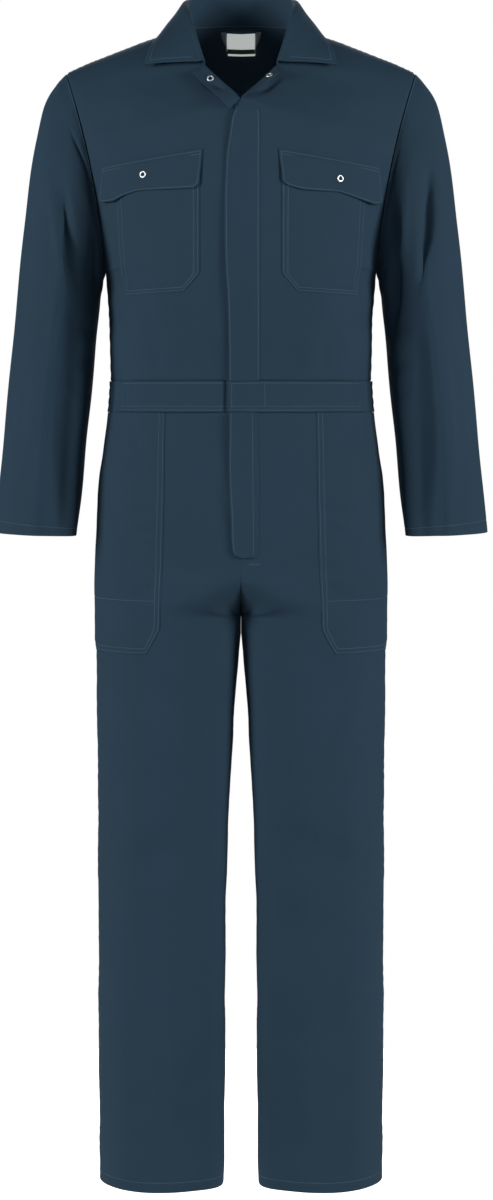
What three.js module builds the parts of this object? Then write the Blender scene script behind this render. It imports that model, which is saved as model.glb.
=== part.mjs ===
// A boiler suit, filled out as if it were worn, with its neck, cuffs and hems open.
// Millimetres, +Z up. The front faces -Y and the wearer's left is +X.
// The origin is on the middle line, between the neck ends of the two shoulder seams and 16 mm
// below them.
import * as THREE from "three";

// Cloth
const CLOTH = 2; // wall of one panel
const DOUBLED = 2.6; // wall of the collar and waistband, which are two layers
const PLACKET = 2.2; // wall of the covered closing
const PATCH = 1.5; // wall of a pocket, flap or lapel
const TUCKED = 0.5; // clearance under a lapel
const HEM = 3.2; // wall where a hem is turned up inside
const SEAM = 0.3; // clearance between pieces that are sewn together
const LAID = 1; // clearance under a piece that lies on a curved panel

// Heights of the main lines
const WAIST_TOP = -462;
const WAIST_FOOT = -504;
const UNDERARM = -313;
const OPENING_FOOT = -90; // where the open neck closes
const CLEFT_TOP = -712; // where the legs begin to part
const CROTCH = -779;
const THIGH = -840;
const HEM_FOOT = -1573;
const HEM_DEPTH = 24;

// Points of the neck and shoulder
const NECK_BACK = new THREE.Vector3(0, 62, 24);
const NECK_SIDE = new THREE.Vector3(70, 0, 16);
const NECK_CORNER = new THREE.Vector3(48, -78, -42); // front end of the collar seam
const SHOULDER_ROUND = 4; // how far the shoulder seam bows up

// Materials
const twill = new THREE.MeshStandardMaterial({ color: 0x2a3e4d, roughness: 0.82, metalness: 0 });
const nickel = new THREE.MeshStandardMaterial({ color: 0xc9ccd0, roughness: 0.3, metalness: 0.9 });
const tape = new THREE.MeshStandardMaterial({ color: 0xe4e6e4, roughness: 0.7, metalness: 0 });

function table(names, rows) {
  const keys = names.split(" ");
  return rows.map((row) => Object.fromEntries(keys.map((key, i) => [key, row[i]])));
}

// Depth of the body in front of and behind the origin, down its centre line
const CENTRE = table("height front back", [
  [24, 60, 62],
  [-10, 84, 84],
  [-50, 112, 102],
  [-98, 133, 117],
  [-170, 147, 130],
  [-230, 151, 134],
  [-313, 149, 130],
  [-391, 137, 119],
  [-468, 124, 110],
  [-511, 124, 113],
  [-560, 124, 124],
  [-632, 122, 133],
  [-715, 118, 133],
  [-770, 114, 126],
  [-852, 109, 117],
  [-976, 103, 108],
  [-1114, 97, 99],
  [-1320, 88, 94],
  [-1573, 80, 88],
]);

// Half-width at the side seam, the inside leg, and how far the side seam lies behind the origin
const SIDE = table("height side inner middle", [
  [-313, 185, 0, 0],
  [-391, 180, 0, 0],
  [-430, 178.5, 0, 0],
  [-468, 178, 0, 0],
  [-511, 181.5, 0, 0],
  [-550, 186.5, 0, 1],
  [-591, 193.5, 0, 3],
  [-632, 196, 0, 4],
  [-715, 199.5, 0, 5],
  [-770, 200.5, 0, 4],
  [-852, 199.5, 5.5, 2],
  [-907, 198.7, 9.6, 1],
  [-976, 198.2, 13.7, 1],
  [-1045, 198, 16.5, 1],
  [-1114, 198, 19.2, 1],
  [-1182, 198, 21.3, 2],
  [-1320, 198.6, 22.7, 3],
  [-1457, 198.4, 23.5, 4],
  [-1573, 197.5, 24.7, 4],
]);

// Sections of the sleeve from the armhole to the cuff: the top point, the underarm point,
// the depth in front and behind, the middle, and how far front and back hug the body
const SLEEVE = table("topX topZ underX underZ front back middle hug", [
  [237, -45, 185, -313, 62, 64, 0, 10],
  [253, -61, 186.6, -319, 69, 71, 0, 9],
  [267.5, -89, 188, -326, 75, 77, 0, 6],
  [279, -136, 189.6, -336, 80, 81, 1, 3],
  [288, -192, 191.6, -350, 82, 83, 2, 1],
  [296, -255, 194.8, -376, 82, 83, 3, 0],
  [304, -330, 199, -420, 80, 81, 4, 0],
  [312.5, -412, 205.5, -486, 77, 77, 3, 0],
  [321, -496, 212.8, -554, 72, 71, -2, 0],
  [329.5, -583, 219, -620, 66, 65, -8, 0],
  [338, -668, 225.5, -673, 60, 58, -16, 0],
]);
const CUFF = SLEEVE.length - 1;

// Long soft folds down the sleeve: the turn where each lies, the stations where it begins
// and ends, how far it stands out, and how wide it is in turns
const SLEEVE_FOLDS = table("turn first last lift width", [
  [0.25, 1, 13, 4, 0.032],
  [0.335, 1.2, 13, -9, 0.05],
  [0.17, 0.3, 3.6, -3, 0.05],
  [0.755, 1, 13, 4, 0.032],
  [0.665, 1.5, 13, -8, 0.05],
  [0.86, 0.5, 4.5, -3, 0.05],
]);
const ARM_RADIUS = 80;

const clamp = THREE.MathUtils.clamp;
const mix = THREE.MathUtils.lerp;
const smooth = (x, low, high) => THREE.MathUtils.smoothstep(x, low, high);
const RIGHT_ANGLE = Math.PI / 2;

function steps(from, to, count) {
  return Array.from({ length: count + 1 }, (_, i) => mix(from, to, i / count));
}

// A smooth curve through one column of a table, read at a place along another
function read(rows, key, place, at) {
  const n = rows.length;
  const rising = rows[n - 1][at] > rows[0][at];
  let i = 0;
  while (i < n - 2 && (rising ? place > rows[i + 1][at] : place < rows[i + 1][at])) i++;
  const slope = (k) => {
    const a = rows[Math.max(k - 1, 0)];
    const b = rows[Math.min(k + 1, n - 1)];
    return (b[key] - a[key]) / (b[at] - a[at]);
  };
  const span = rows[i + 1][at] - rows[i][at];
  const t = clamp((place - rows[i][at]) / span, 0, 1);
  const [start, end] = [rows[i][key], rows[i + 1][key]];
  const rest = t * t * (3 - 2 * t);
  const leave = (t - 1) * (t - 1) * t * span * slope(i);
  const arrive = t * t * (t - 1) * span * slope(i + 1);
  return mix(start, end, rest) + leave + arrive;
}
const centre = (key, height) => read(CENTRE, key, height, "height");
const side = (key, height) => read(SIDE, key, height, "height");
const SLEEVE_STATIONS = SLEEVE.map((row, station) => ({ ...row, station }));
const sleeveSize = (key, station) => read(SLEEVE_STATIONS, key, station, "station");

function sleeveFold(turn, station) {
  return SLEEVE_FOLDS.reduce((sum, fold) => {
    const round = turn - fold.turn - Math.round(turn - fold.turn);
    const along = clamp((station - fold.first) / (fold.last - fold.first), 0, 1);
    return sum + fold.lift * Math.sin(along * Math.PI) * Math.exp(-((round / fold.width) ** 2));
  }, 0);
}

// The sleeve: turn 0 is the top of the arm, a quarter turn is its front
function sleeve(turn, station) {
  const angle = turn * 2 * Math.PI;
  const size = (key) => sleeveSize(key, station);
  const swell = 1 + sleeveFold(turn, station) / ARM_RADIUS;
  const [c, s] = [Math.cos(angle) * swell, Math.sin(angle) * swell];
  const x = mix(size("underX"), size("topX"), (1 + c) / 2) - size("hug") * s * s;
  const z = mix(size("underZ"), size("topZ"), (1 + c) / 2);
  const depth = s > 0 ? size("front") : size("back");
  return new THREE.Vector3(x, size("middle") - depth * s, z);
}

// The seam round the neck: 0 at the back, a half at the shoulder seam, 1 at the front corner
function neckSeam(share) {
  if (share <= 0.5) {
    const angle = share * Math.PI;
    const rise = Math.cos(angle) ** 2;
    return new THREE.Vector3(
      NECK_SIDE.x * Math.sin(angle),
      mix(NECK_SIDE.y, NECK_BACK.y, Math.cos(angle)),
      mix(NECK_SIDE.z, NECK_BACK.z, rise),
    );
  }
  const s = 2 * share - 1;
  return new THREE.Vector3(
    mix(NECK_SIDE.x, NECK_CORNER.x, s * s),
    mix(NECK_SIDE.y, NECK_CORNER.y, s),
    mix(NECK_SIDE.z, NECK_CORNER.z, s * s),
  );
}

// Rows of the bodice: the side seam takes the first ones and the armhole the rest.
// Its front edge is closed up to the apex of the opening, turns back up to the collar's
// corner, and then follows the neck seam.
const SIDE_ROWS = 4;
const ARM_ROWS = 12;
const TOP_ROW = SIDE_ROWS + ARM_ROWS;
const APEX_ROW = SIDE_ROWS + 7;
const CORNER_ROW = SIDE_ROWS + 9;
const NECK_SHARE = 0.3; // share of the back's width that its neckline takes
const NECK_ROWS = 6; // rows over which the back bends to its neckline and shoulders

function armEdge(row, face) {
  if (row <= SIDE_ROWS) {
    const height = mix(WAIST_TOP, UNDERARM, row / SIDE_ROWS);
    return new THREE.Vector3(side("side", height), 0, height);
  }
  const turn = (1 - (row - SIDE_ROWS) / ARM_ROWS) / 2;
  return sleeve(face < 0 ? turn : 1 - turn, 0);
}

function frontEdge(row) {
  const apex = new THREE.Vector3(0, -centre("front", OPENING_FOOT), OPENING_FOOT);
  if (row <= APEX_ROW) {
    const height =
      row <= SIDE_ROWS
        ? mix(WAIST_TOP, UNDERARM, row / SIDE_ROWS)
        : mix(UNDERARM, OPENING_FOOT, (row - SIDE_ROWS) / (APEX_ROW - SIDE_ROWS));
    return new THREE.Vector3(0, -centre("front", height), height);
  }
  if (row <= CORNER_ROW) {
    return apex.lerp(NECK_CORNER, (row - APEX_ROW) / (CORNER_ROW - APEX_ROW));
  }
  return neckSeam(1 - (0.5 * (row - CORNER_ROW)) / (TOP_ROW - CORNER_ROW));
}

function backEdge(row) {
  const height =
    row <= SIDE_ROWS
      ? mix(WAIST_TOP, UNDERARM, row / SIDE_ROWS)
      : mix(UNDERARM, NECK_BACK.z, Math.sin(((row - SIDE_ROWS) / ARM_ROWS) * RIGHT_ANGLE));
  return new THREE.Vector3(0, centre("back", height), height);
}

// One row of the bodice: an arc from its centre edge to its side, which turns the less
// towards the side the higher it lies on the armhole
const FULL_TURN = 1;
const ARMHOLE_TURN = 0.52;
function arcRow(inner, outer, across, row) {
  const open = smooth(row, SIDE_ROWS, SIDE_ROWS + 4);
  const sweep = mix(FULL_TURN, ARMHOLE_TURN, open) * RIGHT_ANGLE;
  const out = Math.sin(across * sweep) / Math.sin(sweep);
  const round = (1 - Math.cos(across * sweep)) / (1 - Math.cos(sweep));
  return new THREE.Vector3(
    mix(inner.x, outer.x, out),
    mix(inner.y, outer.y, round),
    mix(inner.z, outer.z, out),
  );
}

function shoulderBow(x) {
  const share = clamp((x - NECK_SIDE.x) / (SLEEVE[0].topX - NECK_SIDE.x), 0, 1);
  return SHOULDER_ROUND * Math.sin(share * Math.PI);
}

function frontBodice(across, row) {
  const place = arcRow(frontEdge(row), armEdge(row, -1), across, row);
  place.z += shoulderBow(place.x) * smooth(row, TOP_ROW - 4, TOP_ROW);
  return place;
}

// The back is one panel, so its top row bends along the neck and then the shoulder
function backBodice(across, row) {
  const place = arcRow(backEdge(row), armEdge(row, 1), across, row);
  const firstRow = TOP_ROW - NECK_ROWS;
  if (row <= firstRow) return place;
  const plain = arcRow(backEdge(TOP_ROW), armEdge(TOP_ROW, 1), across, TOP_ROW);
  const seam =
    across <= NECK_SHARE
      ? neckSeam((0.5 * across) / NECK_SHARE)
      : NECK_SIDE.clone().lerp(
          armEdge(TOP_ROW, 1),
          (across - NECK_SHARE) / (1 - NECK_SHARE),
        );
  seam.z += shoulderBow(seam.x);
  const weight = ((row - firstRow) / (TOP_ROW - firstRow)) ** 2;
  return place.addScaledVector(seam.sub(plain), weight);
}

// One leg: across 0 is the centre line, or the inside leg below the crotch, and 1 the side seam
function leg(across, height, face) {
  const outer = side("side", height);
  const inner = height < CROTCH ? side("inner", height) : 0;
  const parted = smooth(CLEFT_TOP - height, 0, CLEFT_TOP - CROTCH);
  const middle = height < CROTCH ? (outer + inner) / 2 : (outer * parted) / (1 + parted);
  const angle = mix(-Math.asin(parted), RIGHT_ANGLE, across);
  const seam = side("middle", height);
  const depth = face < 0 ? centre("front", height) + seam : centre("back", height) - seam;
  return new THREE.Vector3(
    middle + (outer - middle) * Math.sin(angle),
    seam + face * depth * Math.cos(angle),
    height,
  );
}
const frontLeg = (across, height) => leg(across, height, -1);
const backLeg = (across, height) => leg(across, height, 1);

// The body at the waist: turn 0 is the front, a half is the back
function waistRing(turn, height) {
  const angle = turn * 2 * Math.PI;
  const face = Math.cos(angle) > 0 ? "front" : "back";
  const depth = centre(face, height);
  return new THREE.Vector3(
    side("side", height) * Math.sin(angle),
    -depth * Math.cos(angle),
    height,
  );
}

// The outward direction of a surface, from two short steps along it
function normalOn(surface, a, b, spanA, spanB, hand = 1) {
  const stepA = spanA * 0.002;
  const stepB = spanB * 0.002;
  const alongA = surface(a + stepA, b).sub(surface(a - stepA, b));
  const alongB = surface(a, b + stepB).sub(surface(a, b - stepB));
  return alongA.cross(alongB).normalize().multiplyScalar(hand);
}

// A surface that is known for one half of the body, read on either side of it
function spotOn(surface, spans, hand) {
  return (across, along) => {
    const mirrored = across < 0 ? -1 : 1;
    const a = clamp(Math.abs(across), 0.001, 0.999);
    const b = clamp(along, spans.low + 0.002, spans.high - 0.002);
    const normal = normalOn(surface, a, b, 1, spans.high - spans.low, hand);
    const point = surface(Math.abs(across), along);
    point.x *= mirrored;
    normal.x *= mirrored;
    return { point, normal };
  };
}
const bodiceSpan = { low: 0, high: TOP_ROW };
const legSpan = { low: HEM_FOOT, high: WAIST_FOOT };
const onFront = spotOn(frontBodice, bodiceSpan, 1);
const onBack = spotOn(backBodice, bodiceSpan, -1);
const onFrontLeg = spotOn(frontLeg, legSpan, 1);
const onBackLeg = spotOn(backLeg, legSpan, -1);
const onSleeve = (turn, station) => ({
  point: sleeve(turn, station),
  normal: normalOn(sleeve, turn, clamp(station, 0.02, CUFF - 0.02), 1, CUFF),
});
const onWaist = (turn, height) => ({
  point: waistRing(turn, height),
  normal: normalOn(waistRing, turn, height, 1, 1),
});

// Where a panel passes a given x and height, found by halving
const HALVINGS = 24;
function halve(low, high, tooLow) {
  for (let i = 0; i < HALVINGS; i++) {
    const middle = (low + high) / 2;
    if (tooLow(middle)) low = middle;
    else high = middle;
  }
  return (low + high) / 2;
}
function acrossAt(surface, x, along) {
  return halve(0, 1, (a) => surface(a, along).x < x);
}
function frontAt(x, height) {
  const reach = Math.abs(x);
  const row = halve(0, TOP_ROW, (b) => {
    return frontBodice(acrossAt(frontBodice, reach, b), b).z < height;
  });
  const across = acrossAt(frontBodice, reach, row);
  return onFront(x < 0 ? -across : across, row);
}
function frontLegAt(x, height) {
  const across = acrossAt(frontLeg, Math.abs(x), height);
  return onFrontLeg(x < 0 ? -across : across, height);
}
function backAt(x, height) {
  const reach = Math.abs(x);
  const row = halve(0, TOP_ROW, (b) => {
    return backBodice(acrossAt(backBodice, reach, b), b).z < height;
  });
  const across = acrossAt(backBodice, reach, row);
  return onBack(x < 0 ? -across : across, row);
}

const suit = new THREE.Group();

function addMesh(name, geometry, material) {
  const mesh = new THREE.Mesh(geometry, material);
  mesh.name = name;
  suit.add(mesh);
  return mesh;
}

// Draws the edges of a grid in by half a seam, so that neighbours stay apart
function drawIn(grid, ring) {
  const towards = (p, q) => p.clone().addScaledVector(q.clone().sub(p).normalize(), SEAM / 2);
  const last = grid.length - 1;
  let trimmed = grid.map((row, j) => {
    if (j === 0) return row.map((p, i) => towards(p, grid[1][i]));
    if (j === last) return row.map((p, i) => towards(p, grid[last - 1][i]));
    return row;
  });
  if (!ring) {
    trimmed = trimmed.map((row) => {
      const end = row.length - 1;
      return row.map((p, i) => {
        if (i === 0) return towards(p, row[1]);
        if (i === end) return towards(p, row[end - 1]);
        return p;
      });
    });
  }
  return trimmed;
}

// Closes an outer and an inner grid of points into one solid wall
function closeWall(outer, inner, ring) {
  const rows = outer.length;
  const columns = outer[0].length;
  const positions = [...outer.flat(), ...inner.flat()].flatMap((p) => [p.x, p.y, p.z]);
  const index = [];
  const at = (layer, j, i) => layer * rows * columns + j * columns + (i % columns);
  const quad = (a, b, c, d) => index.push(a, b, c, a, c, d);
  const spans = ring ? columns : columns - 1;
  for (let j = 0; j < rows - 1; j++) {
    for (let i = 0; i < spans; i++) {
      quad(at(0, j, i), at(0, j, i + 1), at(0, j + 1, i + 1), at(0, j + 1, i));
      quad(at(1, j, i), at(1, j + 1, i), at(1, j + 1, i + 1), at(1, j, i + 1));
    }
    if (!ring) {
      const end = columns - 1;
      quad(at(0, j, 0), at(0, j + 1, 0), at(1, j + 1, 0), at(1, j, 0));
      quad(at(0, j, end), at(1, j, end), at(1, j + 1, end), at(0, j + 1, end));
    }
  }
  for (let i = 0; i < spans; i++) {
    const top = rows - 1;
    quad(at(0, 0, i), at(1, 0, i), at(1, 0, i + 1), at(0, 0, i + 1));
    quad(at(0, top, i), at(0, top, i + 1), at(1, top, i + 1), at(1, top, i));
  }
  const geometry = new THREE.BufferGeometry();
  geometry.setAttribute("position", new THREE.Float32BufferAttribute(positions, 3));
  geometry.setIndex(volumeOf(positions, index) < 0 ? index.reverse() : index);
  return geometry;
}

function volumeOf(positions, index) {
  const corner = (k) => new THREE.Vector3().fromArray(positions, index[k] * 3);
  let sum = 0;
  for (let k = 0; k < index.length; k += 3) {
    sum += corner(k).dot(corner(k + 1).cross(corner(k + 2)));
  }
  return sum / 6;
}

// A piece of cloth on a surface, between two distances from it.
// settle may change a normal at a seam; keep may move a finished point.
function cloth(name, spot, across, along, options = {}) {
  const { from = -CLOTH, to = 0, ring = false, flip = false } = options;
  const settle = options.settle ?? ((normal) => normal);
  const keep = options.keep ?? ((point) => point);
  const distance = (value, a, b) => (typeof value === "function" ? value(a, b) : value);
  const spots = along.map((b) =>
    across.map((a) => {
      const { point, normal } = spot(a, b);
      return { point, normal: settle(normal, a, b), a, b };
    }),
  );
  const layer = (value) =>
    drawIn(
      spots.map((row) =>
        row.map((s) => s.point.clone().addScaledVector(s.normal, distance(value, s.a, s.b))),
      ),
      ring,
    ).map((row) =>
      row.map((p) => {
        const kept = keep(p);
        return flip ? kept.multiply(new THREE.Vector3(-1, 1, 1)) : kept;
      }),
    );
  return addMesh(name, closeWall(layer(to), layer(from), ring), options.material ?? twill);
}

// Where two panels meet at an angle, both walls share one direction, so neither cuts the other,
// but not where the panels are nearly square to each other
const SQUARE = 0.2;
const SLANTED = 0.7;
function share(own, other) {
  const weight = smooth(own.dot(other), SQUARE, SLANTED);
  const average = own.clone().add(other).normalize();
  return own.clone().lerp(average, weight).normalize();
}
function armholeTurn(row, face) {
  const turn = (1 - (row - SIDE_ROWS) / ARM_ROWS) / 2;
  return face < 0 ? turn : 1 - turn;
}
function settleBodice(face) {
  return (normal, across, row) => {
    const made = normal.clone();
    if (row >= TOP_ROW - 0.01) made.y = 0;
    if (Math.abs(across) < 0.001 && row <= APEX_ROW) made.x = 0;
    if (Math.abs(across) < 0.999) return made.normalize();
    if (row <= SIDE_ROWS) made.y = 0;
    made.normalize();
    if (row <= SIDE_ROWS + 0.01) return made;
    const onArm = onSleeve(armholeTurn(row, face), 0).normal;
    if (row >= TOP_ROW - 0.01) onArm.y = 0;
    if (across < 0) onArm.x *= -1;
    return share(made, onArm.normalize());
  };
}
function settleSleeve(normal, turn, station) {
  if (station > 0.01) return normal;
  const wrapped = ((turn % 1) + 1) % 1;
  const face = wrapped <= 0.5 ? -1 : 1;
  const row = SIDE_ROWS + ARM_ROWS * (1 - 2 * (face < 0 ? wrapped : 1 - wrapped));
  const onBody = (face < 0 ? onFront : onBack)(1, row).normal;
  if (row >= TOP_ROW - 0.01) onBody.y = 0;
  return share(normal, onBody.normalize());
}

// Bodice
const FRONT_COLUMNS = 12;
const bodiceRows = steps(0, TOP_ROW, TOP_ROW);
for (const [name, flip] of [["front_left", false], ["front_right", true]]) {
  cloth(name, onFront, steps(0, 1, FRONT_COLUMNS), bodiceRows, {
    flip,
    settle: settleBodice(-1),
  });
}
const backHalf = [...steps(0, NECK_SHARE, 6), ...steps(NECK_SHARE, 1, 6).slice(1)];
const backColumns = [...backHalf.slice(1).reverse().map((a) => -a), ...backHalf];
cloth("back", onBack, backColumns, bodiceRows, { settle: settleBodice(1) });

// Sleeves
const SLEEVE_COLUMNS = 2 * ARM_ROWS; // one for each row of the armhole
const sleeveTurns = steps(0, 1, SLEEVE_COLUMNS).slice(0, -1);
const cuffHem = CUFF - 0.25;
const sleeveRows = [...steps(0, 6, 8), ...steps(6, cuffHem, 5).slice(1), cuffHem + 0.02, CUFF];
for (const [name, flip] of [["sleeve_left", false], ["sleeve_right", true]]) {
  cloth(name, onSleeve, sleeveTurns, sleeveRows, {
    flip,
    ring: true,
    settle: settleSleeve,
    keep: (p) => p.setX(p.x + SEAM),
    from: (turn, station) => (station > cuffHem + 0.01 ? -HEM : -CLOTH),
  });
}

// Legs
const hemTop = HEM_FOOT + HEM_DEPTH;
const legRows = [
  ...steps(WAIST_FOOT, CLEFT_TOP, 3),
  ...steps(CLEFT_TOP, CROTCH, 7).slice(1),
  ...steps(CROTCH, THIGH, 2).slice(1),
  ...steps(THIGH, hemTop, 6).slice(1),
  hemTop - 1,
  HEM_FOOT,
].reverse();
const LEG_COLUMNS = 14;
for (const [sideName, flip] of [["left", false], ["right", true]]) {
  for (const [faceName, spot] of [["front", onFrontLeg], ["back", onBackLeg]]) {
    cloth(`leg_${faceName}_${sideName}`, spot, steps(0, 1, LEG_COLUMNS), legRows, {
      flip,
      from: (across, height) => (height < hemTop - 0.5 ? -HEM : -CLOTH),
      settle: (normal, across, height) => {
        if (across > 0.999 || (across < 0.001 && height < CROTCH)) normal.y = 0;
        if (across < 0.001 && height > CLEFT_TOP) normal.x = 0;
        return normal.normalize();
      },
      keep: (p) => p.setX(Math.max(p.x, SEAM / 2)),
    });
  }
}

// Waistband: two flat front pieces and a back piece on elastic, which is gathered
const FRONT_EDGE = -15; // the left front closes over the right one, this far past the middle
const WAIST_PROUD = 1.8;
const ELASTIC_FROM = 0.178; // of a turn round the waist
const GATHERS = 28;
const GATHER_DEPTH = 1.3;
const waistHeights = steps(WAIST_FOOT, WAIST_TOP, 2);
const overlapTurn = Math.asin(FRONT_EDGE / side("side", WAIST_TOP)) / (2 * Math.PI);
const flatBand = { from: WAIST_PROUD - DOUBLED, to: WAIST_PROUD };
cloth("waistband_left", onWaist, steps(overlapTurn, ELASTIC_FROM, 11), waistHeights, flatBand);
cloth("waistband_right", onWaist, steps(-ELASTIC_FROM, overlapTurn, 9), waistHeights, flatBand);
const GATHER_ENDS = 0.05; // share of the elastic over which the gathers begin and end
const gathered = (offset) => (turn) => {
  const reach = (turn - ELASTIC_FROM) / (1 - 2 * ELASTIC_FROM);
  const ends = smooth(reach, 0, GATHER_ENDS) * (1 - smooth(reach, 1 - GATHER_ENDS, 1));
  return offset + GATHER_DEPTH * ends * Math.cos(reach * GATHERS * 2 * Math.PI);
};
cloth(
  "waistband_back",
  onWaist,
  steps(ELASTIC_FROM, 1 - ELASTIC_FROM, GATHERS * 2),
  waistHeights,
  { from: gathered(WAIST_PROUD - DOUBLED), to: gathered(WAIST_PROUD) },
);

// The covered closing of the front, in two lengths with the waistband between them
const UPPER = table("height near far", [
  [-462, -16, 22],
  [-424, -16, 22],
  [-386, -16.5, 22],
  [-348, -17.5, 22],
  [-313, -20, 22],
  [-282, -21, 22],
  [-252, -21, 22],
  [-221, -21, 22],
  [-190, -20, 22],
  [-160, -18, 22],
  [-136, -13, 22],
  [-118, -8, 21],
  [-103, -3, 19],
]);
const FLY = table("height near far", [
  [-698, -2, 22],
  [-693, -9, 24],
  [-680, -12, 24.5],
  [-650, -13, 24.5],
  [-618, -14.5, 24.5],
  [-580, -16, 24.5],
  [-542, -15.5, 24],
  [-504, -15, 23],
]);
const PLACKET_COLUMNS = 4;
function strip(name, rows, where) {
  const spot = (s, height) => {
    const x = mix(read(rows, "near", height, "height"), read(rows, "far", height, "height"), s);
    return where(x, height);
  };
  const heights = rows.map((row) => row.height);
  cloth(name, spot, steps(0, 1, PLACKET_COLUMNS), heights, { from: LAID, to: LAID + PLACKET });
}
strip("placket_upper", UPPER, frontAt);
strip("placket_fly", FLY, frontLegAt);

// A patch with straight rows: each row runs from a near point to a far one
function patch(name, rows, columns, hand, offsets) {
  const spot = (s, j) => {
    const row = rows[j];
    return frontAt(hand * mix(row.nearX, row.farX, s), mix(row.nearZ, row.farZ, s));
  };
  return cloth(name, spot, steps(0, 1, columns), steps(0, rows.length - 1, rows.length - 1), offsets);
}
const CHEST_POCKET = table("nearX nearZ farX farZ", [
  [75, -344, 160, -348],
  [54, -320, 161.5, -325],
  [54, -306, 162.5, -311],
  [54, -292, 163.5, -298],
  [54, -265, 165, -272],
  [54, -238, 166, -247],
  [54, -212, 167, -224],
  [54, -187, 168, -202],
  [54, -164, 169, -180],
]);
const POCKET_FLAP = table("nearX nearZ farX farZ", [
  [61, -206, 184, -222],
  [54, -200, 187.5, -217],
  [52, -180, 187.5, -198],
  [50, -158, 187, -177],
]);
const ON_POCKET = LAID + PATCH + LAID;
const FLAP_SNAP = { x: 129, z: -190 };
for (const [sideName, hand] of [["left", 1], ["right", -1]]) {
  patch(`chest_pocket_${sideName}`, CHEST_POCKET, 8, hand, { from: LAID, to: LAID + PATCH });
  patch(`pocket_flap_${sideName}`, POCKET_FLAP, 9, hand, {
    from: ON_POCKET,
    to: ON_POCKET + PATCH,
  });
}

// Hip pockets, from the waistband down, which run into the side seam
const HIP_POCKET = table("height near", [
  [-829, 128],
  [-812, 118],
  [-795, 109],
  [-715, 105.5],
  [-624, 103],
  [-504, 101],
]);
const POCKET_CORNER = -795; // the cut corner lies below this height
const pocketHeights = [
  ...HIP_POCKET.map((row) => row.height).filter((height) => height <= POCKET_CORNER),
  ...legRows.filter((height) => height > POCKET_CORNER + 5),
];
const SIDE_STOP = 0.965;
for (const [sideName, hand] of [["left", 1], ["right", -1]]) {
  const spot = (s, height) => {
    const near = acrossAt(frontLeg, read(HIP_POCKET, "near", height, "height"), height);
    return onFrontLeg(hand * mix(near, SIDE_STOP, s), height);
  };
  cloth(`hip_pocket_${sideName}`, spot, steps(0, 1, 8), pocketHeights, {
    from: LAID,
    to: LAID + PATCH,
  });
}

// Collar: a stand rises from the neck seam to the fold, and a leaf turns down outside it
const FOLD = table("share x y z", [
  [0, 0, 68, 64],
  [0.17, 34, 61, 63],
  [0.34, 61, 38, 58],
  [0.5, 72, 6, 49],
  [0.67, 69, -26, 31],
  [0.84, 60, -58, -2],
  [1, 49, -84, -38],
]);
// Plan of the leaf's outer edge, which lies on the shoulders, back and chest
const LEAF_EDGE = table("share x y", [
  [0, 0, 75],
  [0.17, 42, 65],
  [0.34, 80, 38],
  [0.5, 104, 8],
  [0.67, 114, -22],
  [0.84, 121, -43],
  [1, 127, -62],
]);
const COLLAR_HALF = 12;

// Points that the leaf's curve is drawn from, by how far they lie above and outside the fold,
// and where its last stretch lands between its foot and the fold
const ROLL = {
  start: { up: 4.2, out: -1.5 },
  crown: { up: 7.5, out: 7 },
  landing: { up: 3, out: 7, share: 0.35 },
  lean: 0.45, // how upright the roll still is at the front corners
};
const alongFold = (share) =>
  new THREE.Vector3(...["x", "y", "z"].map((key) => read(FOLD, key, share, "share")));
function upon(x, y) {
  const [surface, spot] = y < 0 ? [frontBodice, onFront] : [backBodice, onBack];
  const row = halve(SIDE_ROWS + 5, TOP_ROW, (b) => {
    return Math.abs(surface(acrossAt(surface, x, b), b).y) > Math.abs(y);
  });
  return spot(acrossAt(surface, x, row), row);
}
const leafFoot = steps(0, 1, COLLAR_HALF).map((share) => {
  const { point, normal } = upon(
    read(LEAF_EDGE, "x", share, "share"),
    read(LEAF_EDGE, "y", share, "share"),
  );
  const { x, y, z } = point.addScaledVector(normal, LAID + DOUBLED);
  return { share, x, y, z };
});
function collarStand(share, up) {
  return neckSeam(share).lerp(alongFold(share), up);
}
function collarLeaf(share, down) {
  const fold = alongFold(share);
  const foot = new THREE.Vector3(...["x", "y", "z"].map((key) => read(leafFoot, key, share, "share")));
  const out = foot.clone().sub(fold).setZ(0).normalize();
  const forward = smooth(share, 0.5, 1);
  const lift = new THREE.Vector3(0, -forward, mix(1, ROLL.lean, forward)).normalize();
  const beside = (from, { up, out: away }) => from.addScaledVector(lift, up).addScaledVector(out, away);
  const start = beside(fold.clone(), ROLL.start);
  const crown = beside(fold.clone(), ROLL.crown);
  const landing = beside(foot.clone().lerp(fold, ROLL.landing.share), ROLL.landing);
  const curve = new THREE.CubicBezierCurve3(start, crown, landing, foot);
  return curve.getPoint(down);
}
const collarSpan = { low: 0, high: 1 };
const collarColumns = steps(-1, 1, COLLAR_HALF * 2);
const onStand = spotOn(collarStand, collarSpan, -1);
const onLeaf = spotOn(collarLeaf, collarSpan, 1);
cloth("collar_stand", onStand, collarColumns, steps(0, 1, 2), { from: -DOUBLED, to: 0 });
cloth("collar_leaf", onLeaf, collarColumns, [0, 0.1, 0.22, 0.4, 0.6, 0.8, 1], {
  from: -DOUBLED,
  to: 0,
});

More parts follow.
